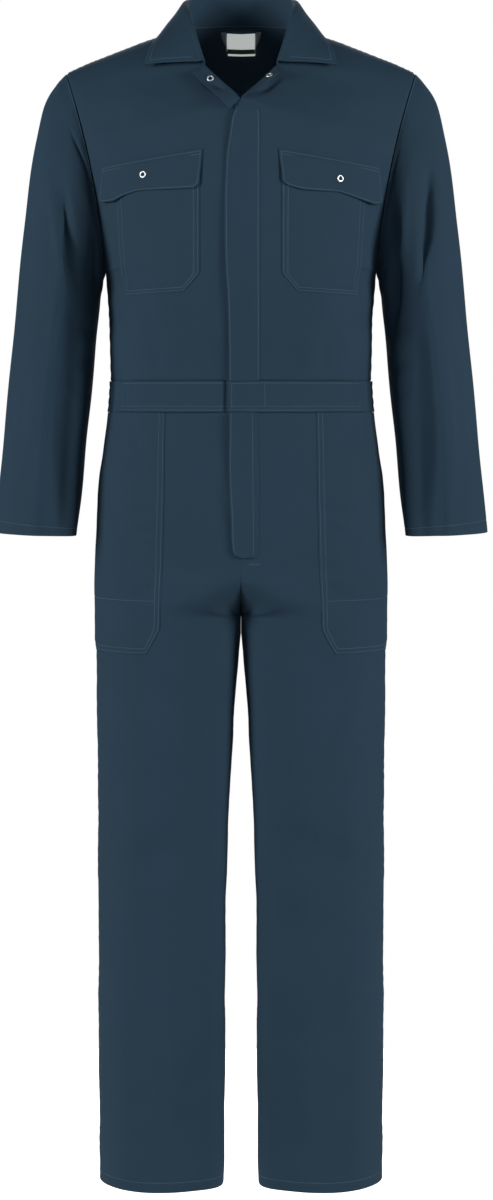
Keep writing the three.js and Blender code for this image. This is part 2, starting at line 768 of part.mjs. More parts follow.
// The top corners of the fronts, turned back on either side of the opening
const LAPEL = table("row width", [
  [APEX_ROW + 0.15, 9],
  [APEX_ROW + 0.7, 15],
  [APEX_ROW + 1.3, 18],
  [CORNER_ROW - 0.12, 20],
]);
const NECK_SNAPS = {
  left: { row: CORNER_ROW - 0.72, in: 7.5 },
  right: { row: CORNER_ROW - 0.85, in: 11.5 },
};
const fromEdge = (row, distance) => acrossAt(frontBodice, frontEdge(row).x + distance, row);
for (const [sideName, hand] of [["left", 1], ["right", -1]]) {
  const spot = (s, row) => onFront(hand * fromEdge(row, s * read(LAPEL, "width", row, "row")), row);
  cloth(`lapel_${sideName}`, spot, steps(0, 1, 2), LAPEL.map((row) => row.row), {
    from: TUCKED,
    to: TUCKED + PATCH,
  });
}

// Open ring snaps
const SNAP_RADIUS = 4;
const SNAP_WIRE = 0.8;
function snap(name, { point, normal }, distance) {
  const ring = new THREE.TorusGeometry(SNAP_RADIUS, SNAP_WIRE, 6, 18);
  ring.applyQuaternion(new THREE.Quaternion().setFromUnitVectors(new THREE.Vector3(0, 0, 1), normal));
  const centreOfRing = point.clone().addScaledVector(normal, distance + SEAM + SNAP_WIRE);
  ring.translate(...centreOfRing.toArray());
  return addMesh(name, ring, nickel);
}
for (const [sideName, hand] of [["left", 1], ["right", -1]]) {
  const onFlap = frontAt(hand * FLAP_SNAP.x, FLAP_SNAP.z);
  snap(`flap_snap_${sideName}`, onFlap, ON_POCKET + PATCH);
  const at = NECK_SNAPS[sideName];
  const onLapel = onFront(hand * fromEdge(at.row, at.in), at.row);
  snap(`neck_snap_${sideName}`, onLapel, TUCKED + PATCH);
}

// Inside the back neck: a hanging loop of tape, and a label over it
const TAPE = 1;
const LOOP = { half: 25, drop: 24, width: 7, top: 20 };
const LABEL = { half: 20, top: 19, foot: -8 };
const inside = (layer) => ({
  from: -CLOTH - LAID - TAPE - layer * (LAID + TAPE),
  to: -CLOTH - LAID - layer * (LAID + TAPE),
});
function loopSpot(s, edge) {
  const angle = mix(-RIGHT_ANGLE, RIGHT_ANGLE, s);
  const reach = edge * LOOP.width;
  return backAt(
    (LOOP.half + reach) * Math.sin(angle),
    LOOP.top - (LOOP.drop + reach) * Math.cos(angle),
  );
}
cloth("hanger_loop", loopSpot, steps(0, 1, 14), [-0.5, 0.5], { ...inside(0), material: tape });
const labelSpot = (s, height) => backAt(mix(-LABEL.half, LABEL.half, s), height);
cloth("neck_label", labelSpot, steps(0, 1, 4), steps(LABEL.foot, LABEL.top, 3), {
  ...inside(1),
  material: tape,
});

export default suit;
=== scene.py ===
"""A dark blue twill boiler suit, filled out as if worn, with its neck, cuffs and hems open.

Surfaces are worked out in millimetres, with the front facing -Y, and go into meshes in metres.
"""
import math

import bmesh
import bpy
import numpy as np
from mathutils import Matrix, Vector


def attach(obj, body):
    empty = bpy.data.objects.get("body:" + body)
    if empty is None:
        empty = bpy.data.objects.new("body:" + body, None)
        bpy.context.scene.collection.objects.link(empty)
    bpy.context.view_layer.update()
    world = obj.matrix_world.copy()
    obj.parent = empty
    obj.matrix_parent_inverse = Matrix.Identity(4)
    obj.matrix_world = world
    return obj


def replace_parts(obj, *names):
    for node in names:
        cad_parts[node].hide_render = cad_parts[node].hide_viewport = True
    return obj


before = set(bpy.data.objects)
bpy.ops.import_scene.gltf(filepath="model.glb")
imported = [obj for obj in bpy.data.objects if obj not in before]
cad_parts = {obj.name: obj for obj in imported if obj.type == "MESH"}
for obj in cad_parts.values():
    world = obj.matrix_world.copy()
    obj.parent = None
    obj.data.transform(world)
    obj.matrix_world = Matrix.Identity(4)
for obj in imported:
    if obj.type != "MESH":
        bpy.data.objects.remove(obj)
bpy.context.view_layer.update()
MM = 0.001

# Heights of the main lines
WAIST_TOP = -462.0
WAIST_FOOT = -504.0
UNDERARM = -313.0
OPENING_FOOT = -90.0
CLEFT_TOP = -712.0
CROTCH = -779.0
HEM_FOOT = -1573.0

# Points of the neck and shoulder
NECK_BACK = np.array([0.0, 62.0, 24.0])
NECK_SIDE = np.array([70.0, 0.0, 16.0])
NECK_CORNER = np.array([48.0, -78.0, -42.0])
SHOULDER_ROUND = 4.0

# Rows of the bodice: the side seam takes the first ones and the armhole the rest
SIDE_ROWS = 4
ARM_ROWS = 12
TOP_ROW = SIDE_ROWS + ARM_ROWS
APEX_ROW = SIDE_ROWS + 7
CORNER_ROW = SIDE_ROWS + 9
NECK_SHARE = 0.3
NECK_ROWS = 6

# Steps of the two searches for a place on a surface, and sizes for the second one's first guess
HALVINGS = 22
SEARCH_STEPS = 16
PANEL_WIDE, MEAN_ROW_HIGH = 240.0, 32.0


def table(names, rows):
    return {name: np.array(column, float) for name, column in zip(names.split(), zip(*rows))}


# The body and legs by height: depths on the middle line, then half-widths at the side and at the
# legs' inner edge, and how far back the side seam lies
CENTRE = table("height front back", [
    (24, 60, 62), (-10, 84, 84), (-50, 112, 102), (-98, 133, 117), (-170, 147, 130),
    (-230, 151, 134), (-313, 149, 130), (-391, 137, 119), (-468, 124, 110), (-511, 124, 113),
    (-560, 124, 124), (-632, 122, 133), (-715, 118, 133), (-770, 114, 126), (-852, 109, 117),
    (-976, 103, 108), (-1114, 97, 99), (-1320, 88, 94), (-1573, 80, 88),
])
SIDE = table("height side inner middle", [
    (-313, 185, 0, 0), (-391, 180, 0, 0), (-430, 178.5, 0, 0), (-468, 178, 0, 0),
    (-511, 181.5, 0, 0), (-550, 186.5, 0, 1), (-591, 193.5, 0, 3), (-632, 196, 0, 4),
    (-715, 199.5, 0, 5), (-770, 200.5, 0, 4), (-852, 199.5, 5.5, 2), (-907, 198.7, 9.6, 1),
    (-976, 198.2, 13.7, 1), (-1045, 198, 16.5, 1), (-1114, 198, 19.2, 1), (-1182, 198, 21.3, 2),
    (-1320, 198.6, 22.7, 3), (-1457, 198.4, 23.5, 4), (-1573, 197.5, 24.7, 4),
])
# The left sleeve from the armhole (station 0) to the cuff: its upper and under line, its depths
# before and behind its middle, and how far it is drawn towards the body there
SLEEVE = table("station topX topZ underX underZ front back middle hug", [
    (0, 237, -45, 185, -313, 62, 64, 0, 10), (1, 253, -61, 186.6, -319, 69, 71, 0, 9),
    (2, 267.5, -89, 188, -326, 75, 77, 0, 6), (3, 279, -136, 189.6, -336, 80, 81, 1, 3),
    (4, 288, -192, 191.6, -350, 82, 83, 2, 1), (5, 296, -255, 194.8, -376, 82, 83, 3, 0),
    (6, 304, -330, 199, -420, 80, 81, 4, 0), (7, 312.5, -412, 205.5, -486, 77, 77, 3, 0),
    (8, 321, -496, 212.8, -554, 72, 71, -2, 0), (9, 329.5, -583, 219, -620, 66, 65, -8, 0),
    (10, 338, -668, 225.5, -673, 60, 58, -16, 0),
])
CUFF = 10.0
# Its long folds, by turn from the shoulder (0) over the front (0.25) to the underarm (0.5)
SLEEVE_FOLDS = table("turn first last lift width", [
    (0.250, 1, 13, 4, 0.032), (0.335, 1.2, 13, -9, 0.05), (0.17, 0.3, 3.6, -3, 0.05),
    (0.755, 1, 13, 4, 0.032), (0.665, 1.5, 13, -8, 0.05), (0.86, 0.5, 4.5, -3, 0.05),
])
ARM_RADIUS = 80.0
# The collar's fold, and its outer edge in plan, by share from the middle of the back to the front
FOLD = table("share x y z", [
    (0, 0, 68, 64), (0.17, 34, 61, 63), (0.34, 61, 38, 58), (0.5, 72, 6, 49),
    (0.67, 69, -26, 31), (0.84, 60, -58, -2), (1, 49, -84, -38),
])
LEAF_EDGE = table("share x y", [
    (0, 0, 75), (0.17, 42, 65), (0.34, 80, 38), (0.5, 104, 8),
    (0.67, 114, -22), (0.84, 121, -43), (1, 127, -62),
])


def mix(a, b, t):
    return a + (b - a) * t


def share_of(x, low, high):
    return np.clip((np.asarray(x, float) - low) / (high - low), 0, 1)


def smooth(x, low, high):
    t = share_of(x, low, high)
    return t * t * (3 - 2 * t)


def curve(at, values, place):
    """A smooth curve through values at marks: one row of values, or a row for each place."""
    count = len(at)
    place = np.clip(np.asarray(place, float), at[0], at[-1])
    before, after = np.maximum(np.arange(count) - 1, 0), np.minimum(np.arange(count) + 1, count - 1)
    slope = (values[..., after] - values[..., before]) / (at[after] - at[before])
    i = np.clip(np.searchsorted(at, place, side="right") - 1, 0, count - 2)

    def pick(rows, k):
        one_row = rows.ndim == 1
        return rows[k] if one_row else np.take_along_axis(rows, k[..., None], axis=-1)[..., 0]

    span = at[i + 1] - at[i]
    t = (place - at[i]) / span
    rest = mix(pick(values, i), pick(values, i + 1), t * t * (3 - 2 * t))
    leave = (t - 1) ** 2 * t * span * pick(slope, i)
    return rest + leave + t * t * (t - 1) * span * pick(slope, i + 1)


def read(rows, key, place, at):
    """A column of a table, read at places along another column that rises or falls."""
    x, y = rows[at], rows[key]
    return curve(x, y, place) if x[0] < x[-1] else curve(x[::-1], y[::-1], place)


def centre(key, height):
    return read(CENTRE, key, height, "height")


def side(key, height):
    return read(SIDE, key, height, "height")


def points(x, y, z):
    return np.stack(np.broadcast_arrays(np.asarray(x, float), y, z), axis=-1)


def hump(distance, width):
    return np.exp(-((distance / width) ** 2))


def paired(surface):
    """Lets a surface be read with numbers, arrays or one of each."""
    return lambda a, b: surface(*(v.astype(float) for v in np.broadcast_arrays(a, b)))


def sleeve(turn, station):
    turn, station = np.broadcast_arrays(np.asarray(turn, float), station)
    lift = np.zeros(turn.shape)
    for t, first, last, height, width in zip(*SLEEVE_FOLDS.values()):
        away = turn - t - np.round(turn - t)
        along = share_of(station, first, last)
        lift = lift + height * np.sin(along * np.pi) * hump(away, width)
    swell = 1 + lift / ARM_RADIUS
    c, s = np.cos(turn * 2 * np.pi) * swell, np.sin(turn * 2 * np.pi) * swell
    size = {k: read(SLEEVE, k, station, "station") for k in SLEEVE if k != "station"}
    x = mix(size["underX"], size["topX"], (1 + c) / 2) - size["hug"] * s * s
    z = mix(size["underZ"], size["topZ"], (1 + c) / 2)
    return points(x, size["middle"] - np.where(s > 0, size["front"], size["back"]) * s, z)


def neck_seam(share):
    share = np.asarray(share, float)
    angle = np.clip(share, 0, 0.5) * np.pi
    back = points(
        NECK_SIDE[0] * np.sin(angle),
        mix(NECK_SIDE[1], NECK_BACK[1], np.cos(angle)),
        mix(NECK_SIDE[2], NECK_BACK[2], np.cos(angle) ** 2),
    )
    s = np.clip(2 * share - 1, 0, 1)
    front = points(
        mix(NECK_SIDE[0], NECK_CORNER[0], s * s),
        mix(NECK_SIDE[1], NECK_CORNER[1], s),
        mix(NECK_SIDE[2], NECK_CORNER[2], s * s),
    )
    return np.where((share <= 0.5)[..., None], back, front)


def arm_edge(row, face):
    low = mix(WAIST_TOP, UNDERARM, share_of(row, 0, SIDE_ROWS))
    turn = (1 - share_of(row, SIDE_ROWS, TOP_ROW)) / 2
    on_side = points(side("side", low), 0, low)
    on_arm = sleeve(turn if face < 0 else 1 - turn, 0)
    return np.where((row <= SIDE_ROWS)[..., None], on_side, on_arm)


def front_edge(row):
    up = mix(UNDERARM, OPENING_FOOT, share_of(row, SIDE_ROWS, APEX_ROW))
    height = np.where(row <= SIDE_ROWS, mix(WAIST_TOP, UNDERARM, row / SIDE_ROWS), up)
    closed = points(0, -centre("front", height), height)
    apex = np.array([0, -float(centre("front", OPENING_FOOT)), OPENING_FOOT])
    t = share_of(row, APEX_ROW, CORNER_ROW)[..., None]
    seam = neck_seam(1 - 0.5 * share_of(row, CORNER_ROW, TOP_ROW))
    upper = np.where((row <= CORNER_ROW)[..., None], mix(apex, NECK_CORNER, t), seam)
    return np.where((row <= APEX_ROW)[..., None], closed, upper)


def back_edge(row):
    t = np.sin(share_of(row, SIDE_ROWS, TOP_ROW) * np.pi / 2)
    height = np.where(
        row <= SIDE_ROWS, mix(WAIST_TOP, UNDERARM, row / SIDE_ROWS), mix(UNDERARM, NECK_BACK[2], t)
    )
    return points(0, centre("back", height), height)


def arc_row(inner, outer, across, row):
    sweep = mix(1, 0.52, smooth(row, SIDE_ROWS, SIDE_ROWS + 4)) * np.pi / 2
    out = np.sin(across * sweep) / np.sin(sweep)
    turned = (1 - np.cos(across * sweep)) / (1 - np.cos(sweep))
    share = np.stack([out, turned, out], axis=-1)
    return inner + (outer - inner) * share


def shoulder_bow(x):
    share = share_of(x, NECK_SIDE[0], SLEEVE["topX"][0])
    return SHOULDER_ROUND * np.sin(share * np.pi)


@paired
def front_bodice(across, row):
    place = arc_row(front_edge(row), arm_edge(row, -1), across, row)
    place[..., 2] += shoulder_bow(place[..., 0]) * smooth(row, TOP_ROW - 4, TOP_ROW)
    return place


@paired
def back_bodice(across, row):
    place = arc_row(back_edge(row), arm_edge(row, 1), across, row)
    top = np.full(row.shape, float(TOP_ROW))
    plain = arc_row(back_edge(top), arm_edge(top, 1), across, top)
    tip = sleeve(0, 0)
    shoulder = NECK_SIDE + (tip - NECK_SIDE) * ((across - NECK_SHARE) / (1 - NECK_SHARE))[..., None]
    seam = np.where(
        (across <= NECK_SHARE)[..., None], neck_seam(0.5 * across / NECK_SHARE), shoulder
    )
    seam[..., 2] += shoulder_bow(seam[..., 0])
    weight = np.clip((row - TOP_ROW + NECK_ROWS) / NECK_ROWS, 0, 1) ** 2
    return place + (seam - plain) * weight[..., None]


def leg(face):
    @paired
    def surface(across, height):
        outer = side("side", height)
        inner = np.where(height < CROTCH, side("inner", height), 0)
        parted = smooth(CLEFT_TOP - height, 0, CLEFT_TOP - CROTCH)
        middle = np.where(height < CROTCH, (outer + inner) / 2, outer * parted / (1 + parted))
        angle = mix(-np.arcsin(parted), np.pi / 2, across)
        seam = side("middle", height)
        depth = centre("front", height) + seam if face < 0 else centre("back", height) - seam
        wide = (outer - middle) * np.sin(angle)
        return points(middle + wide, seam + face * depth * np.cos(angle), height)

    return surface


front_leg, back_leg = leg(-1), leg(1)


@paired
def waist_ring(turn, height):
    angle = turn * 2 * np.pi
    depth = np.where(np.cos(angle) > 0, centre("front", height), centre("back", height))
    return points(side("side", height) * np.sin(angle), -depth * np.cos(angle), height)


def unit(v):
    return v / np.maximum(np.linalg.norm(v, axis=-1, keepdims=True), 1e-9)


def normal_on(surface, a, b, span_a, span_b, hand):
    da, db = span_a * 0.002, span_b * 0.002
    along_a = surface(a + da, b) - surface(a - da, b)
    along_b = surface(a, b + db) - surface(a, b - db)
    return unit(np.cross(along_a, along_b)) * hand


def half(surface, low, high, hand):
    """Points and normals on a surface that is known for one half of the body."""

    @paired
    def spot(across, along):
        mirrored = np.where(across < 0, -1.0, 1.0)
        a = np.clip(np.abs(across), 0.001, 0.999)
        b = np.clip(along, low + 0.002, high - 0.002)
        normal = normal_on(surface, a, b, 1, high - low, hand)
        point = surface(np.abs(across), along)
        point[..., 0] *= mirrored
        normal[..., 0] *= mirrored
        return point, normal

    return spot


on_front = half(front_bodice, 0, TOP_ROW, 1)
on_back = half(back_bodice, 0, TOP_ROW, -1)
on_front_leg = half(front_leg, HEM_FOOT, WAIST_FOOT, 1)
on_back_leg = half(back_leg, HEM_FOOT, WAIST_FOOT, -1)


@paired
def on_sleeve(turn, station):
    inside = np.clip(station, 0.02, CUFF - 0.02)
    return sleeve(turn, station), normal_on(sleeve, turn, inside, 1, CUFF, 1)


@paired
def on_waist(turn, height):
    return waist_ring(turn, height), normal_on(waist_ring, turn, height, 1, 1, 1)


def halve(low, high, too_low):
    low, high = np.array(low, float), np.array(high, float)
    for _ in range(HALVINGS):
        middle = (low + high) / 2
        under = too_low(middle)
        low, high = np.where(under, middle, low), np.where(under, high, middle)
    return (low + high) / 2


def across_at(surface, x, along):
    zero = np.zeros(np.broadcast(x, along).shape)
    return halve(zero, zero + 1, lambda a: surface(a, along)[..., 0] < x)


def meet(surface, spot):
    """Finds where a bodice panel passes a given x and height, in a few straight steps."""

    @paired
    def found(x, height):
        reach = np.abs(x)
        across = np.clip(reach / PANEL_WIDE, 0, 1)
        row = np.clip((height - WAIST_TOP) / MEAN_ROW_HIGH, 0, TOP_ROW)
        for _ in range(SEARCH_STEPS):
            point = surface(across, row)
            wider = (surface(across + 1e-4, row) - point) / 1e-4
            higher = (surface(across, row + 1e-3) - point) / 1e-3
            dx, dz = reach - point[..., 0], height - point[..., 2]
            area = wider[..., 0] * higher[..., 2] - higher[..., 0] * wider[..., 2]
            area = np.where(np.abs(area) < 1, 1, area)
            step = np.clip((dx * higher[..., 2] - higher[..., 0] * dz) / area, -0.2, 0.2)
            rise = np.clip((wider[..., 0] * dz - dx * wider[..., 2]) / area, -2, 2)
            across, row = np.clip(across + step, 0, 1), np.clip(row + rise, 0, TOP_ROW)
        return spot(np.where(x < 0, -across, across), row)

    return found


front_at, back_at = meet(front_bodice, on_front), meet(back_bodice, on_back)


@paired
def front_leg_at(x, height):
    across = across_at(front_leg, np.abs(x), height)
    return on_front_leg(np.where(x < 0, -across, across), height)


# Creases of the worn cloth: soft troughs, or ridges where the depth is less than nothing, between
# two points seen from the front or the back, with a depth and a half-width
CREASE = "x1 z1 x2 z2 depth width"
FRONT_CREASES = table(CREASE, [
    (-170, -512, -112, -560, 2.2, 9), (159, -513, 133, -548, 3, 8), (176, -520, 152, -545, 1.8, 6),
    (-121, -618, -149, -641, 2.4, 5), (-118, -600, -142, -602, 1.8, 4),
    (-119, -655, -146, -652, 2, 4), (-120, -672, -143, -676, 1.9, 4),
    (-120, -686, -145, -726, 3.2, 7), (-124, -745, -150, -765, 1.2, 6),
    (112, -612, 150, -606, 1.9, 5), (112, -640, 160, -636, 2.5, 6), (113, -662, 150, -666, 2, 5),
    (112, -684, 172, -680, 2.3, 6), (118, -722, 140, -744, 2.2, 7), (34, -590, 26, -640, 2, 7),
    (34, -668, 26, -706, 1.2, 8), (-40, -600, -28, -700, 1.2, 13), (-17, -98, -66, -53, 5, 3.6),
    (20, -80, 50, -64, 5, 5), (-150, -860, -60, -915, 2.2, 24), (66, -1080, 160, -1118, 2.8, 28),
    (-60, -1120, -150, -1160, 2.6, 26), (60, -905, 150, -860, 2.2, 26),
    (-120, -1290, -70, -1340, 2, 26), (130, -1320, 80, -1366, 2, 26),
    (150, -1440, 96, -1475, 1.6, 22), (-150, -1450, -90, -1476, 1.6, 22),
    (-110, -840, -118, -1180, -2.6, 26), (116, -850, 118, -1200, -2.6, 26),
    (-112, -1220, -108, -1520, -2, 24), (120, -1230, 112, -1520, -2, 24),
    (178, -318, 126, -362, 3.6, 15), (-176, -322, -128, -372, 3.4, 15),
    (180, -366, 146, -410, 2.4, 12), (-178, -376, -146, -420, 2.4, 12),
    (44, -400, 38, -458, 2.2, 8), (-36, -395, -42, -458, 2.2, 8), (72, -415, 76, -458, 1.5, 8),
    (-78, -410, -74, -458, 1.6, 8), (108, -392, 112, -458, 1.4, 9),
    (-112, -400, -108, -458, 1.4, 9), (200, -120, 150, -108, 2.4, 15),
    (-200, -122, -150, -106, 2.4, 15), (204, -170, 180, -186, 2, 12),
    (-204, -166, -182, -184, 2, 12), (150, -58, 96, -64, 1.6, 16), (-150, -60, -96, -66, 1.6, 16),
    (-34, -150, -38, -330, 1.6, 9),
])
BACK_CREASES = table(CREASE, [
    (178, -320, 90, -380, 4.2, 18), (-176, -326, -84, -376, 4, 18), (180, -362, 120, -410, 3, 14),
    (-178, -368, -122, -418, 3.2, 14), (192, -150, 110, -196, 3.2, 22),
    (-192, -146, -104, -200, 3.4, 22), (196, -230, 130, -262, 2.6, 18),
    (-196, -224, -128, -262, 2.6, 18), (70, -58, -60, -66, 2.4, 18), (58, -96, -44, -104, 1.6, 16),
    (40, -340, 36, -455, -3, 18), (-52, -330, -46, -455, -2.8, 18),
    (104, -370, 100, -455, -2.4, 14), (-108, -366, -102, -455, -2.4, 14),
    (150, -560, 96, -640, 2, 16), (-150, -556, -98, -636, 2, 16), (84, -706, 10, -756, 3.6, 14),
    (-86, -700, -10, -752, 3.6, 14), (130, -760, 26, -792, 3.2, 16),
    (-126, -766, -24, -794, 3.2, 16), (110, -812, 30, -836, 2, 15), (-106, -816, -30, -838, 2, 15),
    (60, -1094, 160, -1124, 3.4, 22), (-56, -1088, -156, -1118, 3.4, 22),
    (156, -1060, 84, -1078, 2.6, 16), (-156, -1054, -82, -1074, 2.6, 16),
    (76, -1146, 150, -1162, 2, 18), (-72, -1140, -150, -1156, 2, 18),
    (118, -850, 112, -1050, -2.6, 24), (-114, -850, -110, -1044, -2.6, 24),
    (112, -1190, 116, -1500, -2.4, 24), (-110, -1190, -114, -1500, -2.4, 24),
])

# The same on the sleeves, by turn and station, with depth and half-width in millimetres
ARM_CREASE = "turn1 station1 turn2 station2 depth width"
SLEEVE_CREASES = {
    "left": table(ARM_CREASE, [
        (0.3, 0.5, 0.36, 3.6, 12, 13), (0.36, 3.2, 0.425, 5.8, 13, 15),
        (0.17, 2.6, 0.285, 5.6, 14, 13), (0.276, 5, 0.332, 10.4, 16, 18),
        (0.24, 1.4, 0.32, 4.9, -4, 10), (0.215, 6, 0.262, 10.4, -3, 10),
        (0.205, 0.4, 0.38, 0.42, 3.6, 6), (0.43, 5.6, 0.3, 6.2, 3, 10),
        (0.45, 6.4, 0.32, 6.7, 3.2, 9), (0.43, 7.1, 0.34, 7, 2.2, 8), (0.16, 6.6, 0.15, 9, 2.2, 14),
        (0.02, 0.6, 0.06, 1.8, 2, 14), (0.64, 0.5, 0.8, 1.5, 4.4, 14),
        (0.6, 1.6, 0.76, 2.4, 3.4, 14), (0.7, 2.4, 0.69, 5.4, 4.4, 18),
        (0.56, 5.7, 0.74, 6.3, 3.4, 11), (0.56, 6.7, 0.72, 6.6, 3, 9), (0.8, 6, 0.72, 9.2, -3, 18),
        (0.9, 1.5, 0.88, 6, 2.6, 20),
    ]),
    "right": table(ARM_CREASE, [
        (0.22, 2.5, 0.33, 5.4, 14, 14), (0.325, 4.9, 0.385, 10.4, 16, 19),
        (0.165, 2.9, 0.285, 5.2, -4, 9), (0.285, 5, 0.34, 10.2, -3.5, 9),
        (0.37, 1.2, 0.42, 5, 5, 14), (0.172, 1, 0.25, 0.42, 4.4, 6),
        (0.225, 0.4, 0.34, 0.66, 3.2, 7), (0.44, 5.5, 0.31, 6, 3, 10),
        (0.45, 6.2, 0.33, 6.6, 3.4, 9), (0.42, 7, 0.34, 7.1, 2, 8), (0.17, 6.8, 0.16, 9.2, 2.2, 14),
        (0.03, 0.7, 0.05, 2, 2, 14), (0.63, 0.5, 0.79, 1.6, 4.2, 14),
        (0.59, 1.7, 0.77, 2.3, 3.6, 14), (0.69, 2.6, 0.7, 5.6, 4.2, 18),
        (0.57, 5.8, 0.73, 6.2, 3.2, 11), (0.56, 6.6, 0.73, 6.8, 3, 9), (0.81, 6.2, 0.73, 9, -3, 18),
        (0.89, 1.4, 0.9, 5.8, 2.6, 20),
    ]),
}
ROUND_ARM = 480.0
STATION = 68.0


def troughs(u, v, rows):
    """How far creases sink a place, each from one point to another."""
    total = np.zeros(np.broadcast(u, v).shape)
    for u1, v1, u2, v2, depth, width in rows:
        du, dv = u2 - u1, v2 - v1
        length = math.hypot(du, dv)
        along = ((u - u1) * du + (v - v1) * dv) / length
        bend = 0.05 * length * math.sin(length)
        off = ((u - u1) * dv - (v - v1) * du) / length
        off = off - bend * np.sin(np.clip(along / length, 0, 1) * np.pi)
        fade = smooth(along, -width, 0.4 * length)
        fade = fade * (1 - smooth(along, 0.6 * length, length + width))
        total += depth * fade * hump(off, width)
    return total


def sunk(point):
    """How far the worn cloth of the body lies under its smooth surface at each point."""
    x, y, z = point[..., 0], point[..., 1], point[..., 2]
    total = np.zeros(x.shape)
    for face, rows in ((-1, FRONT_CREASES), (1, BACK_CREASES)):
        total += smooth(y * face, -10, 25) * troughs(x, z, zip(*rows.values()))
    ripple = np.sin(x * 0.041 + 1.7 * np.sin(z * 0.017) + y * 0.023)
    ripple = ripple * np.sin(z * 0.029 + 1.3 * np.sin(x * 0.019) + 0.6)
    fine = np.sin(x * 0.13 + z * 0.051 + 2 * np.sin(z * 0.031)) * np.sin(z * 0.11 - x * 0.037)
    return total + 0.9 * ripple + 0.18 * fine


def sleeve_sunk(side_name, turn, station):
    """The same for a sleeve."""
    total = np.zeros(turn.shape)
    for t1, s1, t2, s2, depth, width in zip(*SLEEVE_CREASES[side_name].values()):
        middle = (t1 + t2) / 2
        near = (turn - middle + 0.5) % 1 - 0.5
        row = ((t1 - middle) * ROUND_ARM, s1 * STATION, (t2 - middle) * ROUND_ARM, s2 * STATION)
        total += troughs(near * ROUND_ARM, station * STATION, [(*row, depth, width)])
    ripple = np.sin(turn * 6 * np.pi + station * 1.9) * np.sin(station * 1.3 + turn * 4 * np.pi)
    return (total + 0.7 * ripple) * smooth(station, 0, 0.5)


def dip(distance, run):
    """A seam: the cloth turns in at its edge and is drawn up a little beside it."""
    drawn = 0.26 * np.sin(run * 0.53 + 1.3 * np.sin(run * 0.11)) * hump(distance - 5, 4)
    return drawn - 0.9 * hump(distance, 1.5)


def groove(distance, at):
    """The line that a row of stitches presses into the cloth."""
    return -0.4 * hump(distance - at, 1.1)


def laid(spot, height, keep=None):
    """A surface of worn cloth: the smooth one moved by a height and by the creases it keeps."""

    @paired
    def place(a, b):
        point, normal = spot(a, b)
        down = sunk(point) * keep(a, b) if keep else sunk(point)
        return point + normal * (height(a, b) - down)[..., None], normal

    return place


def off_cloth(spot, lift):
    """A place of the smooth body, moved to a height over the worn cloth."""
    point, normal = spot
    return point + normal * (lift - sunk(point))[..., None], normal


def mirrored(place, hand):
    if hand > 0:
        return place

    def other(a, b):
        point, normal = place(a, b)
        turn = np.array([-1.0, 1, 1])
        return point * turn, normal * turn

    return other


def ladder(length, step, near=()):
    """Shares of a length at which a sheet is divided, with closer ones near its two ends."""
    ends = [d for d in (0.0, 0.7, 1.6, *near) if d < length / 2]
    marks = sorted({*ends, *(length - d for d in ends)})
    fill = []
    for a, b in zip(marks, marks[1:]):
        count = max(1, round((b - a) / step))
        fill += [a + (b - a) * i / count for i in range(count)]
    return np.array([*fill, length]) / length


def run_of(path):
    return np.concatenate([[0], np.cumsum(np.linalg.norm(np.diff(path, axis=0), axis=1))])


def mean_run(grid, axis):
    steps = np.linalg.norm(np.diff(grid, axis=axis), axis=2).mean(1 - axis)
    return np.concatenate([[0], np.cumsum(steps)])


def on_path(at, run, path):
    return np.stack([np.interp(at, run, path[:, k]) for k in range(3)], axis=-1)


# Finishes
def set_up(node, **values):
    """Sets a node's inputs, or its settings where it has no input of that name."""
    for key, value in values.items():
        if key in node.inputs:
            node.inputs[key].default_value = value
        else:
            setattr(node, key, value)
    return node


def node_of(tree, kind, **values):
    return set_up(tree.nodes.new(kind), **values)


def join(first, out, second, into):
    first.id_data.links.new(first.outputs[out], second.inputs[into])


def woven_group():
    """Twill: fine slanted ribs in the cloth's own coordinates, with slubs and soft patches."""
    group = bpy.data.node_groups.new("woven", "ShaderNodeTree")
    for way, names in (("INPUT", "Light Dark Rib Roughness"), ("OUTPUT", "Color Roughness Height")):
        for name in names.split():
            kind = "Color" if name in ("Light", "Dark", "Color") else "Float"
            group.interface.new_socket(name=name, in_out=way, socket_type=f"NodeSocket{kind}")
    given, result = node_of(group, "NodeGroupInput"), node_of(group, "NodeGroupOutput")
    coords = node_of(group, "ShaderNodeTexCoord")
    slant = node_of(group, "ShaderNodeMapping", Rotation=(0, 0, math.radians(62)))
    join(coords, "UV", slant, "Vector")
    ribs = node_of(group, "ShaderNodeTexWave", wave_type="BANDS", bands_direction="X",
                   wave_profile="SIN", Distortion=0.5, Detail=1.0, **{"Detail Scale": 2.0})
    join(slant, "Vector", ribs, "Vector")
    join(given, "Rib", ribs, "Scale")
    slub = node_of(group, "ShaderNodeTexNoise", Scale=520.0, Detail=3.0, Roughness=0.6)
    join(coords, "UV", slub, "Vector")
    cloud = node_of(group, "ShaderNodeTexNoise", Scale=7.0, Detail=4.0, Roughness=0.55)
    join(coords, "Object", cloud, "Vector")

    def sum_of(texture, factor, second):
        made = node_of(group, "ShaderNodeMath", operation="MULTIPLY_ADD")
        join(texture, "Fac", made, 0)
        made.inputs[1].default_value = factor
        if isinstance(second, float):
            made.inputs[2].default_value = second
        else:
            group.links.new(second, made.inputs[2])
        return made.outputs["Value"]

    patches = sum_of(cloud, 0.8, -0.4)
    tint = node_of(group, "ShaderNodeMix", data_type="RGBA")
    for value, socket in (
        (sum_of(slub, 0.55, sum_of(ribs, 0.45, patches)), tint.inputs["Factor"]),
        (given.outputs["Dark"], tint.inputs[6]),
        (given.outputs["Light"], tint.inputs[7]),
        (tint.outputs[2], result.inputs["Color"]),
        (sum_of(cloud, 0.12, given.outputs["Roughness"]), result.inputs["Roughness"]),
        (sum_of(slub, 0.5, ribs.outputs["Fac"]), result.inputs["Height"]),
    ):
        group.links.new(value, socket)
    return group


woven = woven_group()


